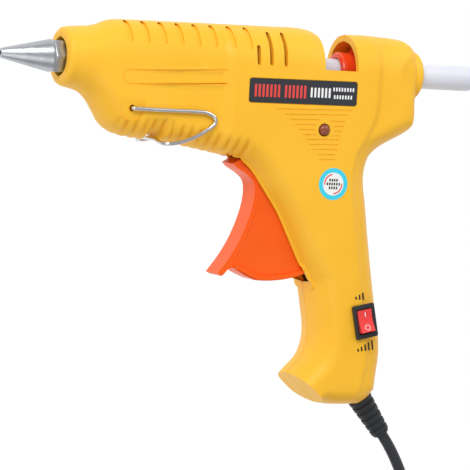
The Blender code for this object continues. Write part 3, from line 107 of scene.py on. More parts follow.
HEAD_HALF_WIDTH = COLLAR_R + 0.35       # just behind the collar
STICK_R = STICK_D / 2
INLET_R = STICK_R + 2 * STICK_GAP
COLLAR_BORE_R = NOZZLE_CONE_R + 1.25
TRIGGER_SLOT_HALF = TRIGGER_W / 2 + ROOMY
PIN_Y = PIVOT[1] + ARM                  # the drive pin's height
RELIEF_NECK_R = CORD_R + 1.5            # the strain relief inside the housing's opening
RELIEF_R0 = CORD_R + 3.1                # and outside it, thick end
RELIEF_R1 = CORD_R + 1.6                # thin end
HEAD_SINK = 3.2                 # how deep a screw's head pocket goes
SCREW_HOLE_R = SCREW_R + 0.32
NUT_LEVEL = 8.0                 # how far up the left half a screw's hole runs
LABEL_SINK = 0.6                # how deep the label's pocket is
PIN_BOSS_R = PIVOT_PIN_R + 2.6
PIN_SOCKET = 12.2               # half length of the pivot pin's hole


def circle(cx, cy, r, n=20, phase=0.0):
    return [(cx + r * math.cos(phase + 2 * math.pi * i / n),
             cy + r * math.sin(phase + 2 * math.pi * i / n)) for i in range(n)]


def turned(poly, cx, cy, deg):
    c, s = math.cos(math.radians(deg)), math.sin(math.radians(deg))
    return [(cx + x * c - y * s, cy + x * s + y * c) for x, y in poly]


def rounded(w, h, r, n=4):
    out = []
    for sx, sy, a0 in ((1, 1, 0), (-1, 1, 90), (-1, -1, 180), (1, -1, 270)):
        for i in range(n + 1):
            a = math.radians(a0 + 90 * i / n)
            out.append((sx * (w / 2 - r) + r * math.cos(a), sy * (h / 2 - r) + r * math.sin(a)))
    return out


def spline(ctrl, step):
    """Centripetal curve through the control points, sampled about every step mm, both ends kept."""
    p = [np.array(c, float) for c in ctrl]
    if len(p) == 2:
        n = max(1, int(round(np.linalg.norm(p[1] - p[0]) / step)))
        return [tuple(p[0] + (p[1] - p[0]) * i / n) for i in range(n + 1)]
    p = [2 * p[0] - p[1]] + p + [2 * p[-1] - p[-2]]
    fine = []
    for i in range(1, len(p) - 2):
        t = [0.0]
        for k in range(3):
            t.append(t[-1] + max(np.linalg.norm(p[i + k] - p[i + k - 1]), 1e-6) ** 0.5)
        for s in np.linspace(t[1], t[2], 16, endpoint=False):
            a1 = (t[1] - s) / (t[1] - t[0]) * p[i - 1] + (s - t[0]) / (t[1] - t[0]) * p[i]
            a2 = (t[2] - s) / (t[2] - t[1]) * p[i] + (s - t[1]) / (t[2] - t[1]) * p[i + 1]
            a3 = (t[3] - s) / (t[3] - t[2]) * p[i + 1] + (s - t[2]) / (t[3] - t[2]) * p[i + 2]
            b1 = (t[2] - s) / (t[2] - t[0]) * a1 + (s - t[0]) / (t[2] - t[0]) * a2
            b2 = (t[3] - s) / (t[3] - t[1]) * a2 + (s - t[1]) / (t[3] - t[1]) * a3
            fine.append((t[2] - s) / (t[2] - t[1]) * b1 + (s - t[1]) / (t[2] - t[1]) * b2)
    fine.append(p[-2])
    fine = np.array(fine)
    run = np.concatenate([[0], np.cumsum(np.linalg.norm(np.diff(fine, axis=0), axis=1))])
    # more samples where the curve turns
    d = np.diff(fine, axis=0)
    ang = np.unwrap(np.arctan2(d[:, 1], d[:, 0]))
    turn = np.concatenate([[0], np.cumsum(np.abs(np.concatenate([[0], np.diff(ang)])))])
    dens = run / step + turn / 0.45
    n = max(2, int(round(dens[-1])))
    at = np.interp(np.linspace(0, dens[-1], n + 1), dens, run)
    return [(float(np.interp(s, run, fine[:, 0])), float(np.interp(s, run, fine[:, 1]))) for s in at]


def outline_segments():
    """(kind, control points), clockwise from the collar's top.

    rim: closed at the parting plane; open: a cut; lip: a blunt edge round a slot; facet: a flat on the edge.
    """
    c = COLLAR_X
    ry = COLLAR_R
    bx, by = STAND_CROSSBAR
    return [
        ("rim", [(c, ry - 2.4), (c + 0.7, ry - 0.8), (c + 2.5, ry)]),
        ("rim", [(c + 2.5, ry), (-90, 13.3), (-84.5, 13.8), (-80.2, 14.9), (-76.5, 16.4), (-72.5, 17.1),
                 (-67, 17.25), (-45, 17.5),
                 (-20, 17.8), (0, 18.0), (WINDOW_X0 - 8.5, 18.1), (WINDOW_X0 - 3.0, 17.5),
                 (WINDOW_X0, 16.4)]),
        ("open", [(WINDOW_X0, 16.4), (WINDOW_X0, WINDOW_Y)]),
        ("open", [(WINDOW_X0, WINDOW_Y), (WINDOW_X1, WINDOW_Y)]),
        ("open", [(WINDOW_X1, WINDOW_Y), (WINDOW_X1, 16.4)]),
        ("rim", [(WINDOW_X1, 16.4), (45, 16.6), (55.5, 16.2), (62, 15.8), (66, 15.1), (69.3, 13.3),
                 (71.4, 10.9)]),
        ("rim", [(71.4, 10.9), (73.1, 10.0), (INLET_X, 8.4)]),
        ("open", [(INLET_X, 8.4), (INLET_X, -8.4)]),
        ("rim", [(INLET_X, -8.4), (73.1, -10.0), (71.4, -10.9)]),
        ("rim", [(71.4, -10.9), (71.6, -14), (71.7, -19), (71.0, -22.4), (68.2, -25.4), (63, -28.6),
                 (58.6, -31), (54, -34), (50.8, -37.6),
                 (49.4, -42.5), (49.3, -48), (50.8, -56.5), (52.6, -67.5), (55.3, -83.1), (57.8, -96.5),
                 (60.3, -109.1), (62.0, -117),
                 (62.5, -124), (61.8, -132), (60.3, -140.9)]),
        ("lip", [(60.3, -140.9), (52.4, -146.9)]),
        ("rim", [(52.4, -146.9), (47, -147.1), (42.5, -147.1), (37.5, -147.0), (34.2, -146.6)]),
        ("facet", [(34.2, -146.6), (19.6, -133.6)]),
        ("rim", [(19.6, -133.6), (20.9, -131.9), (22.9, -129.7), (26, -126.4), (27.9, -122.6), (28.8, -118),
                 (28.7, -113.5),
                 (27.3, -105.6), (25.7, -98), (24.6, -93.2)]),
        ("lip", [(24.6, -93.2), (23.0, -91.2), (20.9, -87.8), (18.6, -84.4), (16.4, -80.6), (11.9, -72.2),
                 (6.3, -62.3), (-0.6, -52.9), (-6, -45.8), (-10.3, -41.9),
                 (-14.4, -39.6), (-17.4, -39.1)]),
        ("rim", [(-17.4, -39.1), (-22, -38.4), (-28.6, -37.3), (-43.1, -35.1), (bx + 1.4, -34.2)]),
        ("rim", [(bx + 1.4, -34.2), (bx + 1.2, by + 1.4), (bx - 1.4, by + 1.6), (bx - 4.4, -33.7)]),
        ("rim", [(bx - 4.4, -33.7), (-61.6, -33.3), (-66.8, -32.6), (-71.6, -31.2), (-75.8, -28.4),
                 (-79.6, -23), (-83, -18.4),
                 (-86.4, -15.4), (-90.5, -13.7), (c + 2.5, -ry)]),
        ("rim", [(c + 2.5, -ry), (c + 0.7, -ry + 0.8), (c, -ry + 2.4)]),
        ("open", [(c, -ry + 2.4), (c, ry - 2.4)]),
    ]


def outline(step):
    pts, kinds = [], []
    for kind, ctrl in outline_segments():
        s = spline(ctrl, step if kind != "open" else min(step, 2.2))
        if kind == "lip" and len(ctrl) == 2:
            s = spline(ctrl, min(step, 1.4))
        elif kind in ("lip", "facet") or abs(ctrl[0][0] - ctrl[-1][0]) + abs(ctrl[0][1] - ctrl[-1][1]) < 9:
            s = spline(ctrl, min(step, 3.0))
        for q in s[:-1]:
            pts.append(q)
            kinds.append(kind)
    return np.array(pts), kinds     # kinds[i] is the kind of the edge from point i to point i + 1


def _edges(keep):
    p, k = _FINE
    q = np.roll(p, -1, axis=0)
    m = np.array([x in keep for x in k])
    return p[m], q[m]


_FINE = outline(0.8)
_WALLS = _edges(("rim", "lip"))               # what the outside is rounded towards
_CLOSED = _edges(("rim", "lip", "facet"))     # what the hollow keeps a wall from


def seg_dist(x, y, a, b):
    """Distance from each point to the nearest of the segments a-b."""
    x = np.atleast_1d(x).astype(float)
    y = np.atleast_1d(y).astype(float)
    best = np.full(x.shape, 1e9)
    ab = b - a
    l2 = (ab ** 2).sum(1) + 1e-12
    for i0 in range(0, len(x), 2000):
        px = x[i0:i0 + 2000, None] - a[None, :, 0]
        py = y[i0:i0 + 2000, None] - a[None, :, 1]
        t = np.clip((px * ab[:, 0] + py * ab[:, 1]) / l2, 0, 1)
        d = np.hypot(px - t * ab[:, 0], py - t * ab[:, 1])
        best[i0:i0 + 2000] = d.min(1)
    return best


def smooth(v, lo, hi):
    t = np.clip((v - lo) / (hi - lo), 0, 1)
    return t * t * (3 - 2 * t)


CREASE = np.array([(47.3, 40.0), (47.3, -12.0), (46.6, -19.0), (43.0, -27.5), (38.2, -36.0), (37.0, -44.0),
                   (38.4, -58.0), (41.5, -76.0), (45.0, -96.0),
                   (49.0, -116.0), (49.6, -128.0), (47.0, -141.0), (46.0, -160.0)])


def crease_x(y):
    o = np.argsort(CREASE[:, 1])
    return np.interp(y, CREASE[o, 1], CREASE[o, 0])


def half_width(x, y):
    w = FRONT_HALF_WIDTH + (HALF_WIDTH - FRONT_HALF_WIDTH) * smooth(x, -27.0, -20.5)
    w = w + (HEAD_HALF_WIDTH - FRONT_HALF_WIDTH) * (1 - smooth(x, -88.0, -74.0))
    slope = 1.0 / 1.05
    s = (x - crease_x(y)) * slope
    return w - REAR_STEP * smooth(s, 0.0, 3.6)


def edge_round(x, y):
    """How far in from the outline the rounding of the edge reaches."""
    e = 9.5 + 7.0 * smooth(y, -12.0, 0.0)
    e = e + (HEAD_HALF_WIDTH - e) * (1 - smooth(x, -88.0, -76.0))
    mid = 30.0 - (y + 50.0) * 0.12
    rear = smooth(x, mid - 2, mid + 6) * (1 - smooth(y, -32.0, -26.0))
    e = e + (12.0 - e) * rear
    e = e + (7.5 - e) * smooth(x, 62.0, 70.0) * (1 - smooth(y, 2.0, 12.0))
    e = e + (7.0 - e) * (1 - smooth(y, -146.0, -128.0))
    return e


def line_off(x, y, origin, deg):
    c, s = math.cos(math.radians(deg)), math.sin(math.radians(deg))
    along = (x - origin[0]) * c + (y - origin[1]) * s
    across = -(x - origin[0]) * s + (y - origin[1]) * c
    return along, across


def near_rim_notch(x, y):
    r = np.hypot(x - PIVOT[0], y - PIVOT[1])
    return (r > TRIGGER_RIM_R - 4.6) & (x > 17.0) & (x < 28.0) & (y > -95.0)


def half_out(x, y, inset=0.0):
    """Height of the housing's surface above the parting plane, or of that surface moved inwards."""
    x = np.atleast_1d(x).astype(float)
    y = np.atleast_1d(y).astype(float)
    d = seg_dist(x, y, *_WALLS)
    d = np.where((x > 60.0) & (np.abs(y) < 11.5), np.clip(np.minimum(d, REAR_WALL_X - x), 0, None),
                 d) - inset
    e = edge_round(x, y) - inset
    w = half_width(x, y) - inset
    u = 1 - np.clip(d / e, 0, 1)
    h = w * np.sqrt(np.clip(1 - u * u, 0, 1))
    # the front collar and the inlet boss are round about the stick's line
    k = np.clip((x - COLLAR_X) / 2.5, 0, 1)
    rc = COLLAR_R - 2.4 * (1 - np.sqrt(1 - (1 - k) ** 2)) - inset
    hc = np.sqrt(np.clip(rc * rc - y * y, 0, None))
    t = smooth(x, COLLAR_X + 3.0, COLLAR_X + 9.0)
    h = np.where(x < COLLAR_X + 9.0, hc * (1 - t) + h * t, h)
    k = np.clip((INLET_X - x) / 2.4, 0, 1)
    rb = 8.4 + 2.4 * np.sqrt(1 - (1 - k) ** 2) - inset
    hb = np.where(x > 66.0, np.sqrt(np.clip(rb * rb - y * y, 0, None)), 0)
    h = np.maximum(h, hb)
    return h


def lip_out(x, y):
    """The blunt edge round the trigger's slot and the cord's opening."""
    along, across = line_off(x, y, RELIEF_ROOT, RELIEF_ANGLE)
    r = RELIEF_R0 + 0.9
    hs = np.where((along > -6) & (np.abs(across) < r), np.sqrt(np.clip(r * r - across ** 2, 0, None)), 0)
    near = (x > -19.5) & (x < 27) & (y < -38.0) & (y > -96.0)
    ht = np.where(near, np.where(near_rim_notch(x, y), TRIGGER_SLOT_HALF + 2.3, TRIGGER_SLOT_HALF + 1.1), 0)
    return np.maximum(hs, ht)


def lip_in(x, y):
    along, across = line_off(x, y, RELIEF_ROOT, RELIEF_ANGLE)
    r = RELIEF_NECK_R + 1.1
    hs = np.where((along > -9.5) & (np.abs(across) < r), np.sqrt(np.clip(r * r - across ** 2, 0, None)), 0)
    near = (x > -17.2) & (x < 27.5) & (y < -33.0) & (y > -94.4)
    ht = np.where(near, np.where(near_rim_notch(x, y), TRIGGER_SLOT_HALF + 1.2, TRIGGER_SLOT_HALF), 0)
    return np.maximum(hs, ht)


def half_in(x, y):
    """Height of the hollow above the parting plane."""
    x = np.atleast_1d(x).astype(float)
    y = np.atleast_1d(y).astype(float)
    d = seg_dist(x, y, *_CLOSED)
    h = half_out(x, y, WALL)
    h = np.where(d > WALL, h, 0)
    h = np.where((x > COLLAR_X + 3.4) & (x < INLET_X - 4.4), h, 0)
    front = np.where(x <= COLLAR_X + 3.9, np.sqrt(np.clip(COLLAR_BORE_R ** 2 - y * y, 0, None)), 0)
    rear = np.where(x >= INLET_X - 5.0, np.sqrt(np.clip(INLET_R ** 2 - y * y, 0, None)), 0)
    h = np.maximum(h, np.maximum(front, rear))
    slot = np.where(d < 9.0, lip_in(x, y), 0)
    return np.maximum(h, slot)


def inside(poly, x, y):
    poly = np.asarray(poly)
    x = np.atleast_1d(x)
    y = np.atleast_1d(y)
    res = np.zeros(x.shape, bool)
    n = len(poly)
    for i in range(n):
        x0, y0 = poly[i]
        x1, y1 = poly[(i + 1) % n]
        c = (y0 > y) != (y1 > y)
        if c.any():
            xi = (x1 - x0) * (y - y0) / (y1 - y0 + 1e-30) + x0
            res ^= c & (x < xi)
    return res


def thin(points, gap, fixed):
    """Drop points closer than gap to one kept already."""
    cell = {}

    def key(p):
        return (int(math.floor(p[0] / gap)), int(math.floor(p[1] / gap)))

    def clash(p):
        kx, ky = key(p)
        for i in (-1, 0, 1):
            for j in (-1, 0, 1):
                for q in cell.get((kx + i, ky + j), ()):
                    if (q[0] - p[0]) ** 2 + (q[1] - p[1]) ** 2 < gap * gap:
                        return True
        return False

    for p in fixed:
        cell.setdefault(key(p), []).append(p)
    out = []
    for p in points:
        if not clash(p):
            cell.setdefault(key(p), []).append(p)
            out.append(p)
    return out


def relief_surface(loops, extra):
    """Triangles over the outline with every loop as an edge: points and triangles inside the first loop."""
    pts, edges = [], []
    for loop in loops:
        b = len(pts)
        n = len(loop)
        pts += [Vector(p) for p in loop]
        edges += [(b + i, b + (i + 1) % n) for i in range(n)]
    pts += [Vector(p) for p in extra]
    v, _, f, *_ = delaunay_2d_cdt(pts, edges, [], 0, 1e-6)
    v = np.array([(p.x, p.y) for p in v])
    f = np.array([t for t in f if len(t) == 3])
    cen = v[f].mean(1)
    e1, e2 = v[f[:, 1]] - v[f[:, 0]], v[f[:, 2]] - v[f[:, 0]]
    area = np.abs(e1[:, 0] * e2[:, 1] - e1[:, 1] * e2[:, 0])
    f = f[inside(loops[0], cen[:, 0], cen[:, 1]) & (area > 2e-4)]
    return v, f


def flat(h):
    return lambda x, y: np.full(np.shape(np.atleast_1d(x)), float(h))


def groove(t):
    return lambda x, y: half_out(x, y, t)


def slot_loop(x, y0, y1, w, n=3):
    """A round-ended slot standing along Y."""
    r = w / 2
    top = [(x + r * math.cos(a), y1 - r + r * math.sin(a)) for a in (math.pi * i / n for i in range(n + 1))]
    low = [(x + r * math.cos(a),
            y0 + r + r * math.sin(a)) for a in (math.pi * (1 + i / n) for i in range(n + 1))]
    between = [0.45, 0.7] if y1 - y0 > 9 else []
    rising = [(x + r, y0 + (y1 - y0) * k) for k in between]
    falling = [(x - r, y0 + (y1 - y0) * k) for k in reversed(between)]
    return rising + top + falling + low


def side_level(x, y):
    """Height of the flat side at a point, with no rounding."""
    return float(half_width(np.array([x]), np.array([y]))[0])


def box_loop(half_x, half_y):
    return [(-half_x, -half_y), (half_x, -half_y), (half_x, half_y), (-half_x, half_y)]


def on_switch(loop):
    """A loop given along and across the switch, put where the switch is."""
    return turned(loop, *SWITCH_POS, SWITCH_TILT)

# ---------------------------------------------------------------- materials
def new_material(name):
    m = bpy.data.materials.new(name)
    m.use_nodes = True
    nt = m.node_tree
    return m, nt, nt.nodes["Principled BSDF"]


def noise_of(nt, scale, detail=3.0):
    co = nt.nodes.new("ShaderNodeTexCoord")
    n = nt.nodes.new("ShaderNodeTexNoise")
    n.inputs["Scale"].default_value = scale
    n.inputs["Detail"].default_value = detail
    nt.links.new(co.outputs["Object"], n.inputs["Vector"])
    return n.outputs["Fac"]


def spread(nt, fac, low, high):
    """A value that runs from low to high as fac goes from 0.3 to 0.7."""
    r = nt.nodes.new("ShaderNodeMapRange")
    r.inputs["From Min"].default_value = 0.3
    r.inputs["From Max"].default_value = 0.7
    r.inputs["To Min"].default_value = low
    r.inputs["To Max"].default_value = high
    nt.links.new(fac, r.inputs["Value"])
    return r.outputs["Result"]


def tinted(nt, fac, dark, light):
    mix = nt.nodes.new("ShaderNodeMix")
    mix.data_type = "RGBA"
    mix.inputs["A"].default_value = (*dark, 1.0)
    mix.inputs["B"].default_value = (*light, 1.0)
    nt.links.new(spread(nt, fac, 0.0, 1.0), mix.inputs["Factor"])
    return mix.outputs["Result"]


def bumped(nt, bsdf, height, distance, strength=1.0):
    b = nt.nodes.new("ShaderNodeBump")
    b.inputs["Distance"].default_value = distance
    b.inputs["Strength"].default_value = strength
    nt.links.new(height, b.inputs["Height"])
    nt.links.new(b.outputs["Normal"], bsdf.inputs["Normal"])


def moulded(name, dark, light, rough=(0.3, 0.38), grain=900.0, depth=0.00003, coat=0.0, soft=0.0):
    """Injection-moulded plastic: faint cloudiness in the colour, patchy gloss and a fine grain."""
    m, nt, bsdf = new_material(name)
    cloud = noise_of(nt, 28.0)
    nt.links.new(tinted(nt, cloud, dark, light), bsdf.inputs["Base Color"])
    nt.links.new(spread(nt, noise_of(nt, 90.0), *rough), bsdf.inputs["Roughness"])
    bumped(nt, bsdf, noise_of(nt, grain, 2.0), depth)
    bsdf.inputs["Specular IOR Level"].default_value = 0.3
    bsdf.inputs["Coat Weight"].default_value = coat
    bsdf.inputs["Coat Roughness"].default_value = 0.2
    bsdf.inputs["Subsurface Weight"].default_value = soft
    bsdf.inputs["Subsurface Radius"].default_value = (1.0, 0.5, 0.2)
    bsdf.inputs["Subsurface Scale"].default_value = 0.002
    return m


def metal(name, colour, rough, streak=400.0, depth=0.00001):
    m, nt, bsdf = new_material(name)
    bsdf.inputs["Metallic"].default_value = 1.0
    fine = noise_of(nt, streak)
    nt.links.new(tinted(nt, noise_of(nt, 60.0), tuple(c * 0.9 for c in colour), colour),
                 bsdf.inputs["Base Color"])
    nt.links.new(spread(nt, fine, rough * 0.8, rough * 1.25), bsdf.inputs["Roughness"])
    bumped(nt, bsdf, fine, depth)
    return m


YELLOW = moulded("yellow_body", (0.96, 0.50, 0.024), (1.0, 0.54, 0.034), (0.40, 0.48), 1100.0, 0.00002)
ORANGE = moulded("orange_trigger", (0.95, 0.11, 0.004), (1.0, 0.13, 0.006), (0.32, 0.40), 1000.0, 0.000015)
RED = moulded("red_carriage", (0.85, 0.05, 0.008), (0.95, 0.075, 0.012), (0.2, 0.28), 700.0, 0.00001, 0.3)
RED_ROCKER = moulded("red_rocker", (0.88, 0.055, 0.05), (0.95, 0.075, 0.068), (0.26, 0.34), 800.0, 0.00001,
                     0.1)
BLACK = moulded("black_plastic", (0.028, 0.028, 0.03), (0.04, 0.04, 0.043), (0.42, 0.55), 900.0, 0.00003)
RUBBER = moulded("black_rubber", (0.026, 0.028, 0.032), (0.038, 0.041, 0.046), (0.5, 0.62), 700.0, 0.00004)
CORD = moulded("cord_sheath", (0.03, 0.031, 0.035), (0.042, 0.044, 0.05), (0.42, 0.52), 600.0, 0.00003)
LABEL_DARK = moulded("label_foil", (0.028, 0.031, 0.038), (0.034, 0.038, 0.046), (0.28, 0.34), 1500.0,
                     0.000004, 0.3)
PRINT_RED = moulded("print_red", (0.76, 0.065, 0.06), (0.82, 0.08, 0.07), (0.4, 0.45), 1500.0, 0.000002)
PRINT_WHITE = moulded("print_white", (0.86, 0.86, 0.86), (0.92, 0.92, 0.92), (0.4, 0.45), 1500.0, 0.000002)
PRINT_CYAN = moulded("print_cyan", (0.04, 0.62, 0.80), (0.06, 0.68, 0.86), (0.35, 0.4), 1500.0, 0.000002,
                     0.3)
PRINT_BLACK = moulded("print_black", (0.03, 0.02, 0.012), (0.045, 0.03, 0.015), (0.45, 0.5), 1500.0,
                      0.000002)
LENS = moulded("lens_brown", (0.24, 0.05, 0.02), (0.32, 0.08, 0.035), (0.08, 0.12), 500.0, 0.000004, 0.6)
SILICONE = moulded("silicone", (0.42, 0.04, 0.02), (0.5, 0.06, 0.03), (0.5, 0.6), 600.0, 0.00003)
CERAMIC = moulded("ceramic", (0.7, 0.67, 0.6), (0.8, 0.77, 0.7), (0.6, 0.7), 500.0, 0.00005)
BOARD = moulded("circuit_board", (0.3, 0.2, 0.08), (0.36, 0.26, 0.1), (0.5, 0.6), 400.0, 0.00002)
GLUE = moulded("glue", (0.68, 0.69, 0.77), (0.76, 0.77, 0.85), (0.26, 0.36), 500.0, 0.00003, 0.1, 0.15)
CHROME = metal("plated_nozzle", (0.52, 0.54, 0.57), 0.32)
WIRE = metal("steel_wire", (0.74, 0.74, 0.75), 0.16)
STEEL = metal("steel", (0.6, 0.6, 0.62), 0.3)
BRASS = metal("brass_pins", (0.75, 0.56, 0.26), 0.25)

for node, mat in {"check_ball": STEEL, "check_spring": STEEL, "heater_clip": STEEL, "sleeve_clamp": STEEL,
                  "drive_pin": STEEL, "gripper": STEEL,
                  "gripper_pin": STEEL, "return_spring": STEEL, "trigger_pin": STEEL,
                  "melt_chamber": CHROME, "insulator_ring": CERAMIC,
                  "heater_element": CERAMIC, "inlet_sleeve": SILICONE, "indicator_board": BOARD,
                  "cord_clamp": BLACK, "live_wire": PRINT_RED,
                  "neutral_wire": BLACK, "coil_tie": BLACK, "plug": BLACK, "plug_pin_1": BRASS,
                  "plug_pin_2": BRASS, "label_plate": LABEL_DARK,
                  **{"housing_screw_%d" % (i + 1): STEEL for i in range(len(SCREWS))}}.items():
    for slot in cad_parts[node].material_slots:
        slot.material = mat
    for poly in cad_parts[node].data.polygons:
        poly.use_smooth = False


# ---------------------------------------------------------------- making pieces
def mesh_piece(name, bm, mat, body, node=None, sharp=32.0, bevel=0.0, weld=1e-3):
    bmesh.ops.remove_doubles(bm, verts=bm.verts, dist=weld)
    bmesh.ops.recalc_face_normals(bm, faces=bm.faces)
    bmesh.ops.scale(bm, vec=Vector((0.001, 0.001, 0.001)), verts=bm.verts)
    for f in bm.faces:
        f.smooth = True
    for e in bm.edges:
        if len(e.link_faces) == 2:
            e.smooth = e.calc_face_angle(0.0) < math.radians(sharp)
    me = bpy.data.meshes.new(name)
    bm.to_mesh(me)
    bm.free()
    o = bpy.data.objects.new(name, me)
    bpy.context.scene.collection.objects.link(o)
    me.materials.append(mat)
    if bevel:
        b = o.modifiers.new("edge", "BEVEL")
        b.width = bevel * 0.001
        b.segments = 2
        b.limit_method = "ANGLE"
        b.angle_limit = math.radians(sharp)
        b.harden_normals = False
    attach(o, body)
    if node:
        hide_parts(*([node] if isinstance(node, str) else node))
    return o


def bm_prism(poly, z0, z1):
    bm = bmesh.new()
    lo = [bm.verts.new((x, y, z0)) for x, y in poly]
    hi = [bm.verts.new((x, y, z1)) for x, y in poly]
    bm.faces.new(lo[::-1])
    bm.faces.new(hi)
    n = len(poly)
    for i in range(n):
        bm.faces.new((lo[i], lo[(i + 1) % n], hi[(i + 1) % n], hi[i]))
    return bm


def bm_lathe(profile, segs, origin=(0, 0, MID), axis=(1, 0, 0), phase=0.0):
    a = Vector(axis).normalized()
    ref = Vector((0, 0, 1)) if abs(a.z) < 0.9 else Vector((0, 1, 0))
    u = a.cross(ref).normalized()
    v = a.cross(u).normalized()
    o = Vector(origin)
    bm = bmesh.new()
    rings = []
    for t, r in profile:
        if r < 1e-6:
            rings.append([bm.verts.new(o + a * t)])
        else:
            rings.append([bm.verts.new(o + a * t + (u * math.cos(k) + v * math.sin(k)) * r)
                          for k in (phase + 2 * math.pi * i / segs for i in range(segs))])
    pairs = list(zip(rings, rings[1:]))
    if profile[0][1] > 1e-6 and profile[-1][1] > 1e-6:
        pairs.append((rings[-1], rings[0]))
    for p, q in pairs:
        for i in range(segs):
            j = (i + 1) % segs
            if len(p) == 1 and len(q) > 1:
                bm.faces.new((p[0], q[i], q[j]))
            elif len(q) == 1 and len(p) > 1:
                bm.faces.new((p[i], p[j], q[0]))
            elif len(p) > 1:
                bm.faces.new((p[i], p[j], q[j], q[i]))
    return bm


def bm_tube(path, r, segs=16):
    pts = [Vector(p) for p in path]
    bm = bmesh.new()
    tang = [(pts[min(i + 1, len(pts) - 1)] - pts[max(i - 1, 0)]).normalized() for i in range(len(pts))]
    ref = Vector((0, 0, 1)) if abs(tang[0].z) < 0.9 else Vector((1, 0, 0))
    u = tang[0].cross(ref).normalized()
    rings = []
    for i, p in enumerate(pts):
        u = (u - tang[i] * u.dot(tang[i])).normalized()
        v = tang[i].cross(u)
        rings.append([bm.verts.new(p + (u * math.cos(k) + v * math.sin(k)) * r) for k in (2 * math.pi * s / segs for s in range(segs))])
    for p, q in zip(rings, rings[1:]):
        for i in range(segs):
            j = (i + 1) % segs
            bm.faces.new((p[i], p[j], q[j], q[i]))
    bm.faces.new(rings[0][::-1])
    bm.faces.new(rings[-1])
    return bm


def smooth_path(route, step):
    """Points every step mm on a smooth curve through the route."""
    p = [np.array(q, float) for q in route]
    p = [2 * p[0] - p[1]] + p + [2 * p[-1] - p[-2]]
    fine = []
    for i in range(1, len(p) - 2):
        for s in np.linspace(0, 1, 12, endpoint=False):
            fine.append(0.5 * (2 * p[i] + (p[i + 1] - p[i - 1]) * s + (2 * p[i - 1] - 5 * p[i] + 4 * p[i + 1] - p[i + 2]) * s * s
                               + (3 * p[i] - p[i - 1] - 3 * p[i + 1] + p[i + 2]) * s ** 3))
    fine.append(p[-2])
    fine = np.array(fine)
    run = np.concatenate([[0], np.cumsum(np.linalg.norm(np.diff(fine, axis=0), axis=1))])
    at = np.linspace(0, run[-1], max(3, int(round(run[-1] / step))) + 1)
    return np.stack([np.interp(at, run, fine[:, k]) for k in range(3)], 1)


# ---------------------------------------------------------------- the cord, its coil and its plug
AX = (math.cos(math.radians(RELIEF_ANGLE)), math.sin(math.radians(RELIEF_ANGLE)), 0.0)


def along_relief(t, z=0.0):
    return (RELIEF_ROOT[0] + AX[0] * t, RELIEF_ROOT[1] + AX[1] * t, MID + z)


# radius and height of each turn
TURNS = [(32.5, 2.75), (27.5, 2.75), (22.5, 2.75), (25.0, 7.1), (30.0, 7.1), (27.5, 11.4)]
# degrees in which one turn passes to the next
SHIFT = 95.0


def coil_point(deg):
    """A point of the coil, deg degrees round it from where the cord comes in."""
    k = min(int(deg // 360), len(TURNS) - 1)
    r, z = TURNS[k]
    into = deg - 360 * k - (360 - SHIFT)
    if into > 0 and k + 1 < len(TURNS):
        s = into / SHIFT
        s = s * s * (3 - 2 * s)
        r += (TURNS[k + 1][0] - r) * s
        z += (TURNS[k + 1][1] - z) * s
    a = math.radians(-deg)
    return (COIL_AT[0] + r * math.cos(a), COIL_AT[1] + r * math.sin(a), z)


ROUTE = [along_relief(0), along_relief(12), along_relief(21), (74.9, -168.0, 15.2), (81.2, -177.0, 12.6),
         (87.8, -187.2, 8.6),
         (93.6, -198.0, 4.9), (97.2, -208.0, 3.0), (98.6, -220.0, 2.75)]
ROUTE += [coil_point(d) for d in np.arange(12.0, 360.0 * len(TURNS) + 75.0, 12.0)]
ROUTE += [(53.5, -262.5, 8.2), (46.5, -265.3, 4.4), (38.0, -266.0, 3.2), (30.0, -266.5, 4.6),
          (22.0, -266.6, 6.5), (15.9, -266.6, 7.0)]
cord_points = smooth_path(ROUTE, 2.5)
curve = bpy.data.curves.new("power_cord", "CURVE")
curve.dimensions = "3D"
curve.bevel_depth = CORD_R * 0.001
curve.bevel_resolution = 4
curve.use_fill_caps = True
line = curve.splines.new("POLY")
line.points.add(len(cord_points) - 1)
for point, at in zip(line.points, cord_points * 0.001):
    point.co = (*at, 1.0)
line.use_smooth = True
cord = bpy.data.objects.new("power_cord", curve)
bpy.context.scene.collection.objects.link(cord)
curve.materials.append(CORD)
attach(cord, "housing")
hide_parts("mains_cord", "cord_coil", "cord_tail")
CORD_LENGTH = float(np.linalg.norm(np.diff(cord_points, axis=0), axis=1).sum()) * 0.001
print("cord length", CORD_LENGTH)

n_rib = 6
prof = [(-8.4, CORD_R + 0.05), (-8.4, 6.0), (-6.6, 6.0), (-6.6, RELIEF_NECK_R), (0.3, RELIEF_NECK_R)]
for k in range(n_rib):
    t0 = 0.3 + (RELIEF_LENGTH - 0.3) * k / n_rib
    t1 = 0.3 + (RELIEF_LENGTH - 0.3) * (k + 1) / n_rib
    r0 = RELIEF_R0 + (RELIEF_R1 - RELIEF_R0) * k / n_rib
    r1 = RELIEF_R0 + (RELIEF_R1 - RELIEF_R0) * (k + 0.7) / n_rib
    prof += [(t0, r0 - 0.35), (t0 + 0.3, r0), (t0 + 0.62 * (t1 - t0), r1),
             (t0 + 0.70 * (t1 - t0), r1 - 0.25)]
    if k < n_rib - 1:
        prof += [(t0 + 0.74 * (t1 - t0), r1 - 0.8), (t1 - 0.05, r1 - 0.85)]
prof += [(RELIEF_LENGTH - 0.2, RELIEF_R1 - 0.5), (RELIEF_LENGTH, CORD_R + 0.05)]
mesh_piece("strain_relief_ribbed", bm_lathe(prof, 48, origin=(*RELIEF_ROOT, MID), axis=AX), RUBBER,
           "housing", "strain_relief", sharp=40)


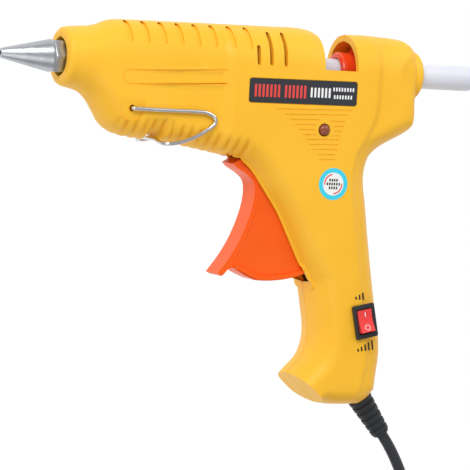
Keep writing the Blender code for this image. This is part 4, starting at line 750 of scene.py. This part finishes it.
# ---------------------------------------------------------------- camera, stage and light
VIEW_TURN = math.radians(25.4)      # the camera stands this far towards the nozzle's end
VIEW_RISE = math.radians(3.7)       # and this far above the gun's middle
VIEW_ROLL = math.radians(3.6)
back = Vector((-math.sin(VIEW_TURN) * math.cos(VIEW_RISE), math.sin(VIEW_RISE),
               math.cos(VIEW_TURN) * math.cos(VIEW_RISE)))
right0 = Vector((0, 1, 0)).cross(back).normalized()
up0 = back.cross(right0)
right = right0 * math.cos(VIEW_ROLL) + up0 * math.sin(VIEW_ROLL)
up = up0 * math.cos(VIEW_ROLL) - right0 * math.sin(VIEW_ROLL)
cam_data = bpy.data.cameras.new("camera")
cam_data.sensor_width = 36.0
cam_data.lens = 257.4
cam_data.clip_start = 0.05
cam = bpy.data.objects.new("camera", cam_data)
bpy.context.scene.collection.objects.link(cam)
m = cam.matrix_world.copy()
for i in range(3):
    m[i][0], m[i][1], m[i][2] = right[i], up[i], back[i]
m[0][3], m[1][3], m[2][3] = -0.63743, 0.02105, 1.33866
cam.matrix_world = m
bpy.context.scene.camera = cam

floor = bpy.data.objects.new("floor", bpy.data.meshes.new("floor"))
floor.data.from_pydata([(-6, -6, -0.0006), (6, -6, -0.0006), (6, 6, -0.0006), (-6, 6, -0.0006)], [],
                       [(0, 1, 2, 3)])
bpy.context.scene.collection.objects.link(floor)
paper, nt, bsdf = new_material("white_paper")
bsdf.inputs["Base Color"].default_value = (0.02, 0.02, 0.02, 1)
bsdf.inputs["Roughness"].default_value = 1.0
bsdf.inputs["Emission Color"].default_value = (1, 1, 1, 1)
bsdf.inputs["Specular IOR Level"].default_value = 0.0
bsdf.inputs["Emission Strength"].default_value = 1.0
floor.data.materials.append(paper)

world = bpy.data.worlds.new("studio")
bpy.context.scene.world = world
world.use_nodes = True
world.node_tree.nodes["Background"].inputs["Color"].default_value = (1, 1, 1, 1)
world.node_tree.nodes["Background"].inputs["Strength"].default_value = 0.46


def softbox(name, at, target, size, power):
    d = bpy.data.lights.new(name, "AREA")
    d.shape = "RECTANGLE"
    d.size, d.size_y = size
    d.energy = power
    o = bpy.data.objects.new(name, d)
    bpy.context.scene.collection.objects.link(o)
    o.location = at
    o.rotation_euler = (Vector(at) - Vector(target)).to_track_quat("Z", "Y").to_euler()
    return o


softbox("key", (-0.5, 0.75, 0.8), (0, -0.03, 0), (0.6, 0.6), 8.0)
softbox("fill", (-0.5, -0.6, 1.0), (0, -0.06, 0), (0.9, 0.9), 2.6)
softbox("rim", (0.6, 0.5, 0.5), (0, -0.03, 0), (0.5, 0.8), 2.0)
bpy.context.scene.view_settings.view_transform = "Standard"


# ---------------------------------------------------------------- the housing halves
RIB_PITCH = 4.3
RIB_X0, RIB_X1 = -74.0, -9.0


def belly_rib(x, y, d):
    """How far the belly's cross ribs sink at a point: nothing on a crest, deepest in the creases, fading up the side."""
    wave = (1 - np.abs(np.sin(math.pi * x / RIB_PITCH))) ** 1.1
    ends = smooth(x, RIB_X0, RIB_X0 + 3) * (1 - smooth(x, RIB_X1 - 4, RIB_X1))
    low = (y < -24.0)
    return 2.3 * wave * ends * np.where(low, 1 - smooth(d, 4.0, 10.5), 0)


def shell(side, step, holes, outer, inner):
    p, kinds = outline(step)
    along = np.roll(p, -1, axis=0) - np.roll(p, 1, axis=0)
    inward = np.stack([along[:, 1], -along[:, 0]], 1) / np.linalg.norm(along, axis=1)[:, None]
    p = p + inward * (belly_rib(p[:, 0], p[:, 1], np.zeros(len(p))) * 0.45)[:, None]
    out = [tuple(q) for q in p]
    bm = bmesh.new()

    def z(h):
        return MID + side * (SEAM + np.maximum(h, 0))

    def base_out(x, y):
        d = seg_dist(x, y, *_WALLS)
        h = half_out(x, y)
        h = h - np.where(h > 1.0, belly_rib(np.asarray(x), np.asarray(y), d), 0)
        return np.maximum(h, np.where(d < 5.0, lip_out(x, y), 0))

    n_arc = 11
    arcs = [1 - math.cos(math.pi / 2 * k / n_arc) for k in range(1, n_arc + 1)]
    q = np.asarray(out)
    t = np.roll(q, -1, axis=0) - np.roll(q, 1, axis=0)
    t /= np.linalg.norm(t, axis=1)[:, None]
    nrm = np.stack([t[:, 1], -t[:, 0]], 1)
    e = edge_round(q[:, 0], q[:, 1])
    rings = []
    for fr in arcs:
        r = q + nrm * (e * fr)[:, None]
        ok = inside(out, r[:, 0], r[:, 1])
        ok &= seg_dist(r[:, 0], r[:, 1], *_WALLS) > 0.95 * e * fr
        rings += [tuple(v) for v in r[ok]]
    gx, gy = np.meshgrid(np.arange(p[:, 0].min(), p[:, 0].max(), 2.0),
                         np.arange(p[:, 1].min(), p[:, 1].max(), 2.0))
    gx, gy = gx.ravel() + 0.01, gy.ravel() + 0.01
    k = inside(out, gx, gy)
    gx, gy = gx[k], gy[k]
    k = seg_dist(gx, gy, *_WALLS) > 1.02 * edge_round(gx, gy)
    grid = list(zip(gx[k], gy[k]))
    belly = [(x, y) for x in np.arange(RIB_X0, RIB_X1, RIB_PITCH / 8) for y in np.arange(-39.0, -20.0, 1.0)]
    steep = [(x, y) for x in np.arange(-28.0, -19.5, 1.0) for y in np.arange(-30, 16, 1.5)]
    steep += [(float(crease_x(y)) + s, y) for y in np.arange(-145, 17, 1.2) for s in (-0.1, 0.5, 1.1, 1.7,
                                                            2.4, 3.2, 4.0)]
    steep += [(x,
               y) for x in list(np.arange(COLLAR_X + 0.2, COLLAR_X + 3, 0.4)) + list(np.arange(COLLAR_X + 3,
                                                            COLLAR_X + 10, 1.0)) for y in np.arange(-12.5,
                                                            12.6, 0.8)]
    steep += [(x, y) for x in np.arange(INLET_X - 5.0, INLET_X - 0.1, 0.5) for y in np.arange(-11, 11.1,
                                                            0.7)]

    def surface(loops, pts, hole_loops, gap):
        pts = np.array(pts)
        d = seg_dist(pts[:, 0], pts[:, 1], np.asarray(out), np.roll(np.asarray(out), -1, axis=0))
        ok = (d > 0.12) & inside(out, pts[:, 0], pts[:, 1])
        lp = [np.asarray(l) for l in loops + hole_loops]
        if lp:
            a = np.concatenate(lp)
            b = np.concatenate([np.roll(l, -1, axis=0) for l in lp])
            ok &= seg_dist(pts[:, 0], pts[:, 1], a, b) > 0.15
        fixed = out + [r for l in loops + hole_loops for r in l]
        return relief_surface([out] + loops + hole_loops, thin([tuple(v) for v in pts[ok]], gap, fixed))

    def wall(lp, z0, z1, closed=True):
        n = len(lp)
        for i in range(n if closed else n - 1):
            j = (i + 1) % n
            uniq = []
            for v in [(*lp[i], z0[i]), (*lp[j], z0[j]), (*lp[j], z1[j]), (*lp[i], z1[i])]:
                if not any(abs(v[0] - r[0]) + abs(v[1] - r[1]) + abs(v[2] - r[2]) < 1e-5 for r in uniq):
                    uniq.append(v)
            if len(uniq) >= 3:
                bm.faces.new([bm.verts.new(v) for v in uniq])

    def emit(v, f, base, loops, hole_loops):
        cen = v[f].mean(1)
        keep = np.ones(len(f), bool)
        for h in hole_loops:
            keep &= ~inside(h, cen[:, 0], cen[:, 1])
        f, cen = f[keep], cen[keep]
        region = np.full(len(f), -1)
        for i, (loop, _) in enumerate(loops):
            region[inside(loop, cen[:, 0], cen[:, 1])] = i
        hb = base(v[:, 0], v[:, 1])
        for i in range(len(out)):
            if "rim" in (kinds[i], kinds[i - 1]):
                hb[np.argmin((v[:, 0] - out[i][0]) ** 2 + (v[:, 1] - out[i][1]) ** 2)] = 0
        for r in range(-1, len(loops)):
            sel = f[region == r]
            if not len(sel):
                continue
            h = hb if r < 0 else loops[r][1](v[:, 0], v[:, 1])
            zz = z(h)
            made = {}
            for tri in sel:
                for i in tri:
                    if i not in made:
                        made[i] = bm.verts.new((v[i][0], v[i][1], zz[i]))
                bm.faces.new([made[i] for i in tri])
        for i, (loop, fn) in enumerate(loops):
            lp = np.array([Vector(c)[:] for c in loop])
            around = base
            for other, fo in loops[:i]:
                if inside(other, lp[:1, 0], lp[:1, 1])[0]:
                    around = fo
            wall(lp, z(around(lp[:, 0], lp[:, 1])), z(fn(lp[:, 0], lp[:, 1])))

    hole_loops = [h[0] for h in holes]
    v, f = surface([l for l, _ in outer], steep + rings + grid + belly, hole_loops, 0.16)
    emit(v, f, base_out, outer, hole_loops)
    inner_pts = [r for i,
                 r in enumerate(rings) if i % 3 == 0] + grid + [tuple(c) for c in (q + nrm * (WALL + 0.05))] + [tuple(c) for c in (q + nrm * (WALL + 0.6))]
    inner_pts += [(x, y) for x in (COLLAR_X + 3.4, COLLAR_X + 3.9, INLET_X - 4.4,
                                   INLET_X - 5.0) for y in np.arange(-9.6, 9.7, 0.8)]
    v, f = surface([l for l, _ in inner], inner_pts, hole_loops, 0.5)
    emit(v, f, half_in, inner, hole_loops)
    for loop, lo, hi in holes:
        lp = np.array([Vector(c)[:] for c in loop])
        wall(lp, z((lo or half_in)(lp[:, 0], lp[:, 1])), z((hi or base_out)(lp[:, 0], lp[:, 1])))
    pv = np.array([Vector(c)[:] for c in out])
    ho, hi_ = base_out(pv[:, 0], pv[:, 1]), half_in(pv[:, 0], pv[:, 1])
    for i in range(len(out)):
        if kinds[i] == "rim" or kinds[i - 1] == "rim":
            ho[i] = hi_[i] = 0
    for i in range(len(out)):
        if kinds[i] != "rim":
            j = (i + 1) % len(out)
            wall(pv[[i, j]], z(ho[[i, j]]), z(hi_[[i, j]]), closed=False)
    return bm


def stadium(x0, y0, x1, y1, r, n=8):
    """A rounded slot from (x0, y0) to (x1, y1)."""
    a = math.atan2(y1 - y0, x1 - x0)
    out = [(x1 + r * math.cos(a - math.pi / 2 + math.pi * i / n),
            y1 + r * math.sin(a - math.pi / 2 + math.pi * i / n)) for i in range(n + 1)]
    out += [(x0 + r * math.cos(a + math.pi / 2 + math.pi * i / n),
             y0 + r * math.sin(a + math.pi / 2 + math.pi * i / n)) for i in range(n + 1)]
    return out


def pivot_recess(x, y):
    """The shallow U-shaped sink round the stand's pivot, running out at its open top."""
    x, y = np.atleast_1d(x), np.atleast_1d(y)
    return half_out(x, y) - 0.6 * (1 - smooth(y, STAND_PIVOT[1] - 1.0, STAND_PIVOT[1] + 4.6))


def loop_groove(x0, y0, x1, y1, r, width):
    """The outline of a thin groove round three sides of a bar, open at its far end."""
    a = math.atan2(y1 - y0, x1 - x0)
    turn = [a + math.pi / 2 + math.pi * i / 14 for i in range(15)]
    far = [(x1 + r * math.cos(b), y1 + r * math.sin(b)) for b in (a - math.pi / 2, a + math.pi / 2)]
    near = [(x1 + (r - width) * math.cos(b), y1 + (r - width) * math.sin(b)) for b in (a + math.pi / 2,
                                                            a - math.pi / 2)]
    outside = [(x0 + r * math.cos(b), y0 + r * math.sin(b)) for b in turn]
    within = [(x0 + (r - width) * math.cos(b), y0 + (r - width) * math.sin(b)) for b in turn[::-1]]
    return [far[1]] + outside + [far[0], near[1]] + within + [near[0]]


def fan_groove(k, count=11):
    """Bars of one groove line of the fan under the label, broken round the indicator."""
    y = -17.5 - 2.1 * k
    share = k / (count - 1)
    x0 = -0.6 + 22.3 * share ** 0.72
    x1 = 35.3 - 6.9 * share ** 0.5
    ring = LED_R + 1.9
    away = y - LED_POS[1]
    if abs(away) >= ring:
        return [(x0, y, x1)]
    w = math.sqrt(ring * ring - away * away) + 0.5
    return [(x0, y, LED_POS[0] - w), (LED_POS[0] + w, y, x1)]


def side_features(side):
    """Holes, pockets and bosses of one half: (holes, outside regions, inside regions)."""
    holes = [(slot_loop(x, y0, y1, VENT_W, 8), None, None) for x, y0, y1 in VENTS]
    holes.append((circle(*STAND_PIVOT, STAND_WIRE_D / 2 + 0.5, 20), None, None))
    outer = [(slot_loop(GROOVE_X + GROOVE_PITCH * i, *GROOVE_Y, GROOVE_W, 8), groove(GROOVE_DEPTH))
             for i in range(GROOVE_COUNT)]
    px, py = STAND_PIVOT
    bowl = [(px + 5.5 * math.cos(a),
             py + 5.5 * math.sin(a)) for a in (math.pi * (1 + k / 20) for k in range(21))]
    outer.append((bowl + [(px + 5.5, py + 4.6), (px - 5.5, py + 4.6)], pivot_recess))
    outer.append((loop_groove(-69.9, -6.8, -24.5, -4.5, 3.2, 0.5), groove(0.22)))
    for k in range(11):
        for a, y, b in fan_groove(k):
            outer.append((stadium(a, y, b, y + (b - a) * 0.03, 0.42, 4), groove(0.3)))
    inner = [(circle(*PIVOT, PIN_BOSS_R, 32), flat(TRIGGER_SLOT_HALF + 0.05)),
             (circle(*PIVOT, PIVOT_PIN_R + 0.35, 24), flat(PIN_SOCKET))]
    for x, y in SCREWS:
        inner.append((circle(x, y, BOSS_R, 24), flat(0.0)))
        if side > 0:
            inner.append((circle(x, y, SCREW_HOLE_R, 16), flat(NUT_LEVEL)))
        else:
            seat = side_level(x, y) - HEAD_SINK
            outer.append((circle(x, y, BOSS_R - 0.4, 24), flat(seat)))
            holes.append((circle(x, y, SCREW_HOLE_R, 16), flat(0.0), flat(seat)))
    if side > 0:
        x, y, length, height = LABEL
        pocket = rounded(length + 2 * EASY, height + 2 * EASY, 1.3, 6)
        outer.append((turned(pocket, x, y, LABEL_TILT), flat(HALF_WIDTH - LABEL_SINK)))
        holes.append((circle(*LED_POS, LED_R + 0.25, 32), None, None))
        holes.append((on_switch(box_loop(SWITCH_H / 2 - 1.0, SWITCH_W / 2 - 1.0)), None, None))
    return holes, outer, inner


for side, name in ((1, "left_housing"), (-1, "right_housing")):
    mesh_piece(name + "_moulding", shell(side, 0.9, *side_features(side)), YELLOW, "housing", name,
               sharp=38, weld=2e-3)


# ---------------------------------------------------------------- nozzle, carriage and stick
HEX_R = NOZZLE_HEX / 2 / math.cos(math.pi / 6)
SHOULDER_X = COLLAR_X - 4.9
SPIGOT_X = -94.4
SPIGOT_R = 5.0
NOZZLE_END_X = -88.5


def make_nozzle():
    tip = NOZZLE_TIP_X
    cone = [(tip + 1.2, 0), (tip + 1.2, 0.9), (tip, 0.95), (tip, 1.8), (tip + 0.1, 2.0), (tip + 0.4, 2.2),
            (SHOULDER_X - 0.3, NOZZLE_CONE_R - 0.07), (SHOULDER_X, NOZZLE_CONE_R),
            (SHOULDER_X + 0.7, NOZZLE_CONE_R),
            (SHOULDER_X + 0.8, 6.9), (SHOULDER_X + 0.8, 6.2), (SPIGOT_X, 6.2), (SPIGOT_X, SPIGOT_R),
            (NOZZLE_END_X, SPIGOT_R), (NOZZLE_END_X, 1.7)]
    mesh_piece("nozzle_turned", bm_lathe(cone, 96), CHROME, "housing", "nozzle", sharp=25)
    flats = [(SHOULDER_X + 0.3, 6.0), (SHOULDER_X + 0.3, 6.9), (SHOULDER_X + 1.0, HEX_R - 0.35),
             (SPIGOT_X - 0.5, HEX_R - 0.35), (SPIGOT_X - 0.5, 6.0)]
    mesh_piece("nozzle_hexagon", bm_lathe(flats, 6, phase=math.pi / 6), CHROME, "housing", bevel=0.15)


def make_stick():
    x0, x1 = STICK_X
    body = [(x0, 0), (x0, STICK_R - 1.2), (x0 + 1.2, STICK_R)] + [(x, STICK_R) for x in np.arange(x0 + 12,
                                                            x1 - 2.4, 10.0)]
    end = [(x1 - 2.0 + 2.0 * math.sin(a), STICK_R - 2.0 + 2.0 * math.cos(a)) for a in np.linspace(0,
                                                            math.pi / 2, 6)]
    mesh_piece("glue_stick_cast", bm_lathe(body + end + [(x1 - 0.05, 1.5), (x1 - 0.1, 0)], 64), GLUE,
               "glue_stick", "glue_stick")


RING_X = (34.0, 56.0)
RING_R = STICK_R + 3.0
FLANGE_X = (43.5, 45.5)
FLANGE_R = COLLAR_R - 1.35


def make_carriage():
    x0, x1 = RING_X
    bore = STICK_R + STICK_GAP + 0.1
    ring = [(x0, bore), (x0, RING_R - 1.0), (x0 + 0.25, RING_R - 0.45), (x0 + 0.8, RING_R - 0.1),
            (x0 + 1.4, RING_R),
            (FLANGE_X[0], RING_R), (FLANGE_X[0], FLANGE_R - 0.4), (FLANGE_X[0] + 0.4, FLANGE_R),
            (FLANGE_X[1] - 0.4, FLANGE_R),
            (FLANGE_X[1], FLANGE_R - 0.4), (FLANGE_X[1], RING_R), (x1, RING_R), (x1, bore)]
    mesh_piece("carriage_ring", bm_lathe(ring, 72), RED, "carriage", "carriage", sharp=30)
    low, high = PIN_Y - 3.0, PIN_Y + 2.2
    plate = [(PIVOT[0] - 4.5, low), (37.0, low), (37.0, 0.9 - RING_R), (x0 + 0.6, 0.9 - RING_R),
             (x0 + 0.6, high), (PIVOT[0] - 4.5, high)]
    mesh_piece("carriage_tongue", bm_prism(plate, MID - 3.0, MID + 3.0), RED, "carriage", bevel=0.3)
    back = [(46.5, low), (50.0, low), (50.0, 0.9 - RING_R), (46.5, 0.9 - RING_R)]
    mesh_piece("carriage_heel", bm_prism(back, MID - 3.0, MID + 3.0), RED, "carriage", bevel=0.3)


make_nozzle()
make_stick()
make_carriage()



# ---------------------------------------------------------------- trigger
def joined(base, other, op="UNION"):
    """Boolean of two mesh builders' results, as a new mesh builder."""
    made = []
    for bm in (base, other):
        bmesh.ops.recalc_face_normals(bm, faces=bm.faces)
        me = bpy.data.meshes.new("operand")
        bm.to_mesh(me)
        bm.free()
        o = bpy.data.objects.new("operand", me)
        bpy.context.scene.collection.objects.link(o)
        made.append(o)
    mod = made[0].modifiers.new("join", "BOOLEAN")
    mod.operation = op
    mod.solver = "EXACT"
    mod.object = made[1]
    bpy.context.view_layer.update()
    done = bpy.data.meshes.new_from_object(made[0].evaluated_get(bpy.context.evaluated_depsgraph_get()))
    bm = bmesh.new()
    bm.from_mesh(done)
    bpy.data.meshes.remove(done)
    for o in made:
        bpy.data.objects.remove(o, do_unlink=True)
    return bm


def make_trigger():
    px, py = PIVOT
    half = TRIGGER_W / 2
    pad = spline([(-15.2, -42.2), (-13.4, -43.9), (-8.6, -46.6), (-5.2, -49.6), (-4.2, -53.5),
                  (-4.6, -59.5), (-6.4, -66.5),
                  (-9.9, -75.3), (-14.3, -83.0), (-19.6, -90.2)], 1.2)
    tip = spline([(-19.6, -90.2), (-17.6, -91.2), (-13.4, -87.6), (-7.0, -90.4),
                  rim_arc(TRIGGER_RIM_R, -1.5, 0, 1)[0]], 1.5)
    back = [(22.6, -85.6), (17.5, -72.0), (13.2, -55.0), (9.0, -44.0), (8.5, py), (7.2, py + 5.5),
            (7.0, PIN_Y + 2.0),
            (5.9, PIN_Y + 3.6), (0.1, PIN_Y + 3.6), (-1.0, PIN_Y + 2.0), (-1.2, py + 5.5), (-4.5, py + 0.5),
            (-10.0, -38.9)]
    inset = spline([(-8.5, -42.8), (-4.4, -45.6), (-2.0, -49.0), (-1.5, -53.5), (-1.9, -59.5),
                    (-3.7, -66.5), (-7.2, -75.3),
                    (-11.0, -83.2)], 1.5)
    hollow = inset + [(-8.0, -86.6)] + rim_arc(TRIGGER_RIM_R - 2.6, -2.0, 28.0, 16)
    hollow += [(32.0, -70.0), (25.0, PIN_Y + 8.5), (-8.0, PIN_Y + 8.5), (-8.0, -38.0)]
    whole = pad + tip[1:-1] + rim_arc(TRIGGER_RIM_R, -1.5, 23.4, 18) + back
    lever = joined(plate(whole, half), plate(hollow, half - 1.8), "DIFFERENCE")
    lever = joined(lever, plate(circle(px, py, 5.0, 40), half - 0.2))
    band = [(-12.4, -87.3), (-7.0, -89.7)] + rim_arc(TRIGGER_RIM_R - 0.4, -1.0, 22.4, 16)
    band += rim_arc(TRIGGER_RIM_R - 2.2, -1.0, 22.4, 16)[::-1] + [(-7.0, -87.6), (-11.6, -85.6)]
    lever = joined(lever, plate(band, half + 1.1))
    lever = joined(lever, plate(circle(px, py, PIVOT_PIN_R + RUNNING, 32), 9), "DIFFERENCE")
    fork = [(px - 1.85, PIN_Y - 3.2), (px + 1.85, PIN_Y - 3.2), (px + 1.85, PIN_Y + 8.5),
            (px - 1.85, PIN_Y + 8.5)]
    lever = joined(lever, plate(fork, 9), "DIFFERENCE")
    mesh_piece("trigger_lever", lever, ORANGE, "trigger", "trigger", sharp=30, bevel=0.45)
    # a raised line just behind the pad's edge, on both cheeks
    line = spline([(-11.6, -42.2), (-7.2, -44.8), (-3.9, -47.9), (-2.6, -52.5), (-2.9, -59.5),
                   (-4.7, -66.7), (-8.2, -75.6), (-12.2, -83.4)], 1.5)
    for k, z in enumerate((MID + half, MID - half)):
        mesh_piece("trigger_edge_line_%d" % (k + 1), bm_tube([(x, y, z) for x, y in line], 0.35, 10),
                   ORANGE, "trigger")


def plate(loop, half):
    """A plate half thick either side of the parting plane."""
    return bm_prism(loop, MID - half, MID + half)


def rim_arc(r, x0, x1, n):
    """Points of an arc about the trigger's pivot, below it."""
    a0, a1 = (math.asin((x - PIVOT[0]) / r) for x in (x0, x1))
    angles = [a0 + (a1 - a0) * k / n for k in range(n + 1)]
    return [(PIVOT[0] + r * math.sin(a), PIVOT[1] - r * math.cos(a)) for a in angles]


make_trigger()


# ---------------------------------------------------------------- wire stand
def make_stand():
    r = STAND_WIRE_D / 2
    z = MID + SEAM + FRONT_HALF_WIDTH + EASY + r
    x, y = STAND_PIVOT
    bx, by = STAND_CROSSBAR
    flat_run = [(x + 1.4, y - 0.1), (x + 17.0, y - 0.2), (x + 31.5, y - 0.2), (x + 35.0, y - 0.7),
                (x + 37.6, y - 1.9),
                (x + 38.8, y - 3.6), (x + 38.0, y - 5.6), (x + 34.4, y - 8.3), (x + 29.5, y - 11.1),
                (x + 24.9, y - 13.0),
                (x + 20.3, y - 14.1)]
    leg = [Vector((x, y, z - 4.2)), Vector((x, y, z - 1.4)), Vector((x + 0.4, y, z - 0.4))]
    leg += [Vector((a, b, z)) for a, b in flat_run]
    leg += [Vector((bx + 3.2, by - 1.5, z - 0.3)), Vector((bx + 1.4, by - 1.5, z - 1.8)),
            Vector((bx + 0.3, by - 0.9, z - 4.0)),
            Vector((bx, by, z - 7.0))]
    other = [Vector((q.x, q.y, 2 * MID - q.z)) for q in leg[::-1]]
    route = smooth_path(leg + [Vector((bx, by, MID))] + other, 0.6)
    mesh_piece("stand_wire", bm_tube(route, r, 20), WIRE, "wire_stand", "wire_stand", sharp=60)


make_stand()

# ---------------------------------------------------------------- label print, sticker, lens, switch
INK = 0.03


def ink(name, shapes, mat, z, body="housing"):
    bm = bmesh.new()
    for poly in shapes:
        part = bm_prism(poly, z, z + INK)
        me = bpy.data.meshes.new("ink")
        part.to_mesh(me)
        part.free()
        bm.from_mesh(me)
        bpy.data.meshes.remove(me)
    return mesh_piece(name, bm, mat, body, weld=1e-6)


def on_label(cx, cy, w, h):
    lx, ly, _, _ = LABEL
    return turned([(cx + x, cy + y) for x, y in rounded(w, h, min(w, h) * 0.3, 3)], lx, ly, LABEL_TILT)


z_label = TOP - 0.05
red_marks = [on_label(-23.0 + 1.85 * i + (1.5 if i > 6 else 0), 0, 1.05, 5.6) for i in range(13)]
white_marks = [on_label(3.9 + 1.75 * i, 0, 0.95, 4.3) for i in range(6)]
small_marks = [on_label(14.7 + 1.35 * i, 1.7, 0.75, 1.7) for i in range(8)]
small_marks += [on_label(15.2 + 1.35 * i, -1.6, 0.75, 1.7) for i in range(7)]
ink("label_red_marks", red_marks, PRINT_RED, z_label)
ink("label_white_marks", white_marks + small_marks, PRINT_WHITE, z_label)

STICKER = (28.7, -48.8)


def arc_band(cx, cy, r0, r1, a0, a1, n=16):
    angles = [math.radians(a0 + (a1 - a0) * k / n) for k in range(n + 1)]
    return [(cx + r1 * math.cos(a), cy + r1 * math.sin(a)) for a in angles] + [(cx + r0 * math.cos(a),
                                                            cy + r0 * math.sin(a)) for a in angles[::-1]]


ink("sticker_rim", [circle(*STICKER, 7.0, 64)], PRINT_CYAN, TOP + 0.01)
ink("sticker_face", [circle(*STICKER, 5.0, 64)], PRINT_WHITE, TOP + 0.03)
ink("sticker_arcs", [arc_band(*STICKER, 3.9, 4.5, 100, 185), arc_band(*STICKER, 3.9, 4.5, -85, 5)],
    PRINT_RED, TOP + 0.05)
rows = [(1.7, 4), (0.0, 6), (-1.7, 4)]
ink("sticker_ticks", [[(STICKER[0] + (k - (n - 1) / 2) * 1.15 + x, STICKER[1] + dy + y) for x,
                       y in rounded(0.75, 1.2, 0.15, 2)] for dy, n in rows for k in range(n)],
    PRINT_BLACK, TOP + 0.05)

dome = [(9.5, 0), (9.5, LED_R - 0.15), (HALF_WIDTH + 0.2, LED_R - 0.15)] + [
    (HALF_WIDTH + 0.2 + 1.6 * math.sin(a),
     (LED_R - 0.15) * math.cos(a)) for a in (math.pi / 2 * k / 12 for k in range(1,
                                                            12))] + [(HALF_WIDTH + 1.8, 0)]
mesh_piece("indicator_dome", bm_lathe(dome, 48, origin=(*LED_POS, MID), axis=(0, 0, 1)), LENS, "housing",
           "led_lens", sharp=40)

zb = TOP + 0.3


half_h, half_w = SWITCH_H / 2 - 1.3, SWITCH_W / 2 - 1.3
frame_bm = bm_prism(on_switch(rounded(SWITCH_H, SWITCH_W, 0.8, 6)), zb, zb + 1.5)
frame_bm = joined(frame_bm, bm_prism(on_switch(box_loop(half_h, half_w)), TOP - 9.3, zb + 0.6))
frame_bm = joined(frame_bm, bm_prism(on_switch(box_loop(half_h - 0.7, half_w - 0.3)), TOP - 4.7, zb + 5),
                  "DIFFERENCE")
mesh_piece("switch_bezel", frame_bm, BLACK, "housing", "switch_body", bevel=0.3)

C_S, S_S = math.cos(math.radians(SWITCH_TILT)), math.sin(math.radians(SWITCH_TILT))


def rocker_at(along, across, height):
    """A point given in the rocker's own directions, at its rest tilt."""
    c, s = math.cos(math.radians(ROCKER_TILT)), math.sin(math.radians(ROCKER_TILT))
    a, b = along * c - height * s, along * s + height * c
    return (SWITCH_POS[0] + a * C_S - across * S_S, SWITCH_POS[1] + a * S_S + across * C_S, zb + 0.2 + b)


def loft(loops):
    bm = bmesh.new()
    rings = [[bm.verts.new(q) for q in loop] for loop in loops]
    n = len(rings[0])
    bm.faces.new(rings[0][::-1])
    bm.faces.new(rings[-1])
    for p, q in zip(rings, rings[1:]):
        for i in range(n):
            j = (i + 1) % n
            bm.faces.new((p[i], p[j], q[j], q[i]))
    return bm


crown = [(5.0 - 10.0 * k / 16, 1.75 + 0.95 * abs(1 - k / 8.0) ** 1.6) for k in range(17)]
side_view = [(-5.0, 0.2), (-3.4, -3.2), (3.4, -3.2), (5.0, 0.2)] + crown
mesh_piece("rocker_cap", loft([[rocker_at(a, w, h) for a, h in side_view] for w in (-3.35, 3.35)]),
           RED_ROCKER, "switch_rocker", "switch_rocker", sharp=30, bevel=0.25)


def crown_height(along):
    return 1.75 + 0.95 * abs(along / 5.0) ** 1.6


line_mark = loft([[rocker_at(a, w, crown_height(a) + h) for a,
                   h in ((-3.9, 0.0), (-3.9, 0.05), (-1.9, 0.05), (-1.9, 0.0))] for w in (-0.2, 0.2)])
mesh_piece("rocker_line_mark", line_mark, PRINT_WHITE, "switch_rocker")

ring = [(2.9 + 1.15 * math.cos(a), 1.15 * math.sin(a)) for a in (2 * math.pi * k / 24 for k in range(25))]
mesh_piece("rocker_ring_mark", bm_tube([rocker_at(a, w, crown_height(a) + 0.02) for a, w in ring], 0.14, 8),
           PRINT_WHITE, "switch_rocker")

# level bars beside the switch: low above it, high below it
low_bars = [turned(rounded(0.8, 1.4 + 0.9 * i, 0.2, 2), 43.6 + 1.7 * i, -98.6 + 0.45 * i,
                   10) for i in range(3)]
high_bars = [turned(rounded(0.8, 1.4 + 0.75 * i, 0.2, 2), 46.3 + 1.7 * i, -121.6 + 0.37 * i + 0.25 * i,
                    10) for i in range(5)]
ink("switch_level_marks", low_bars + high_bars, PRINT_BLACK, TOP + 0.01)
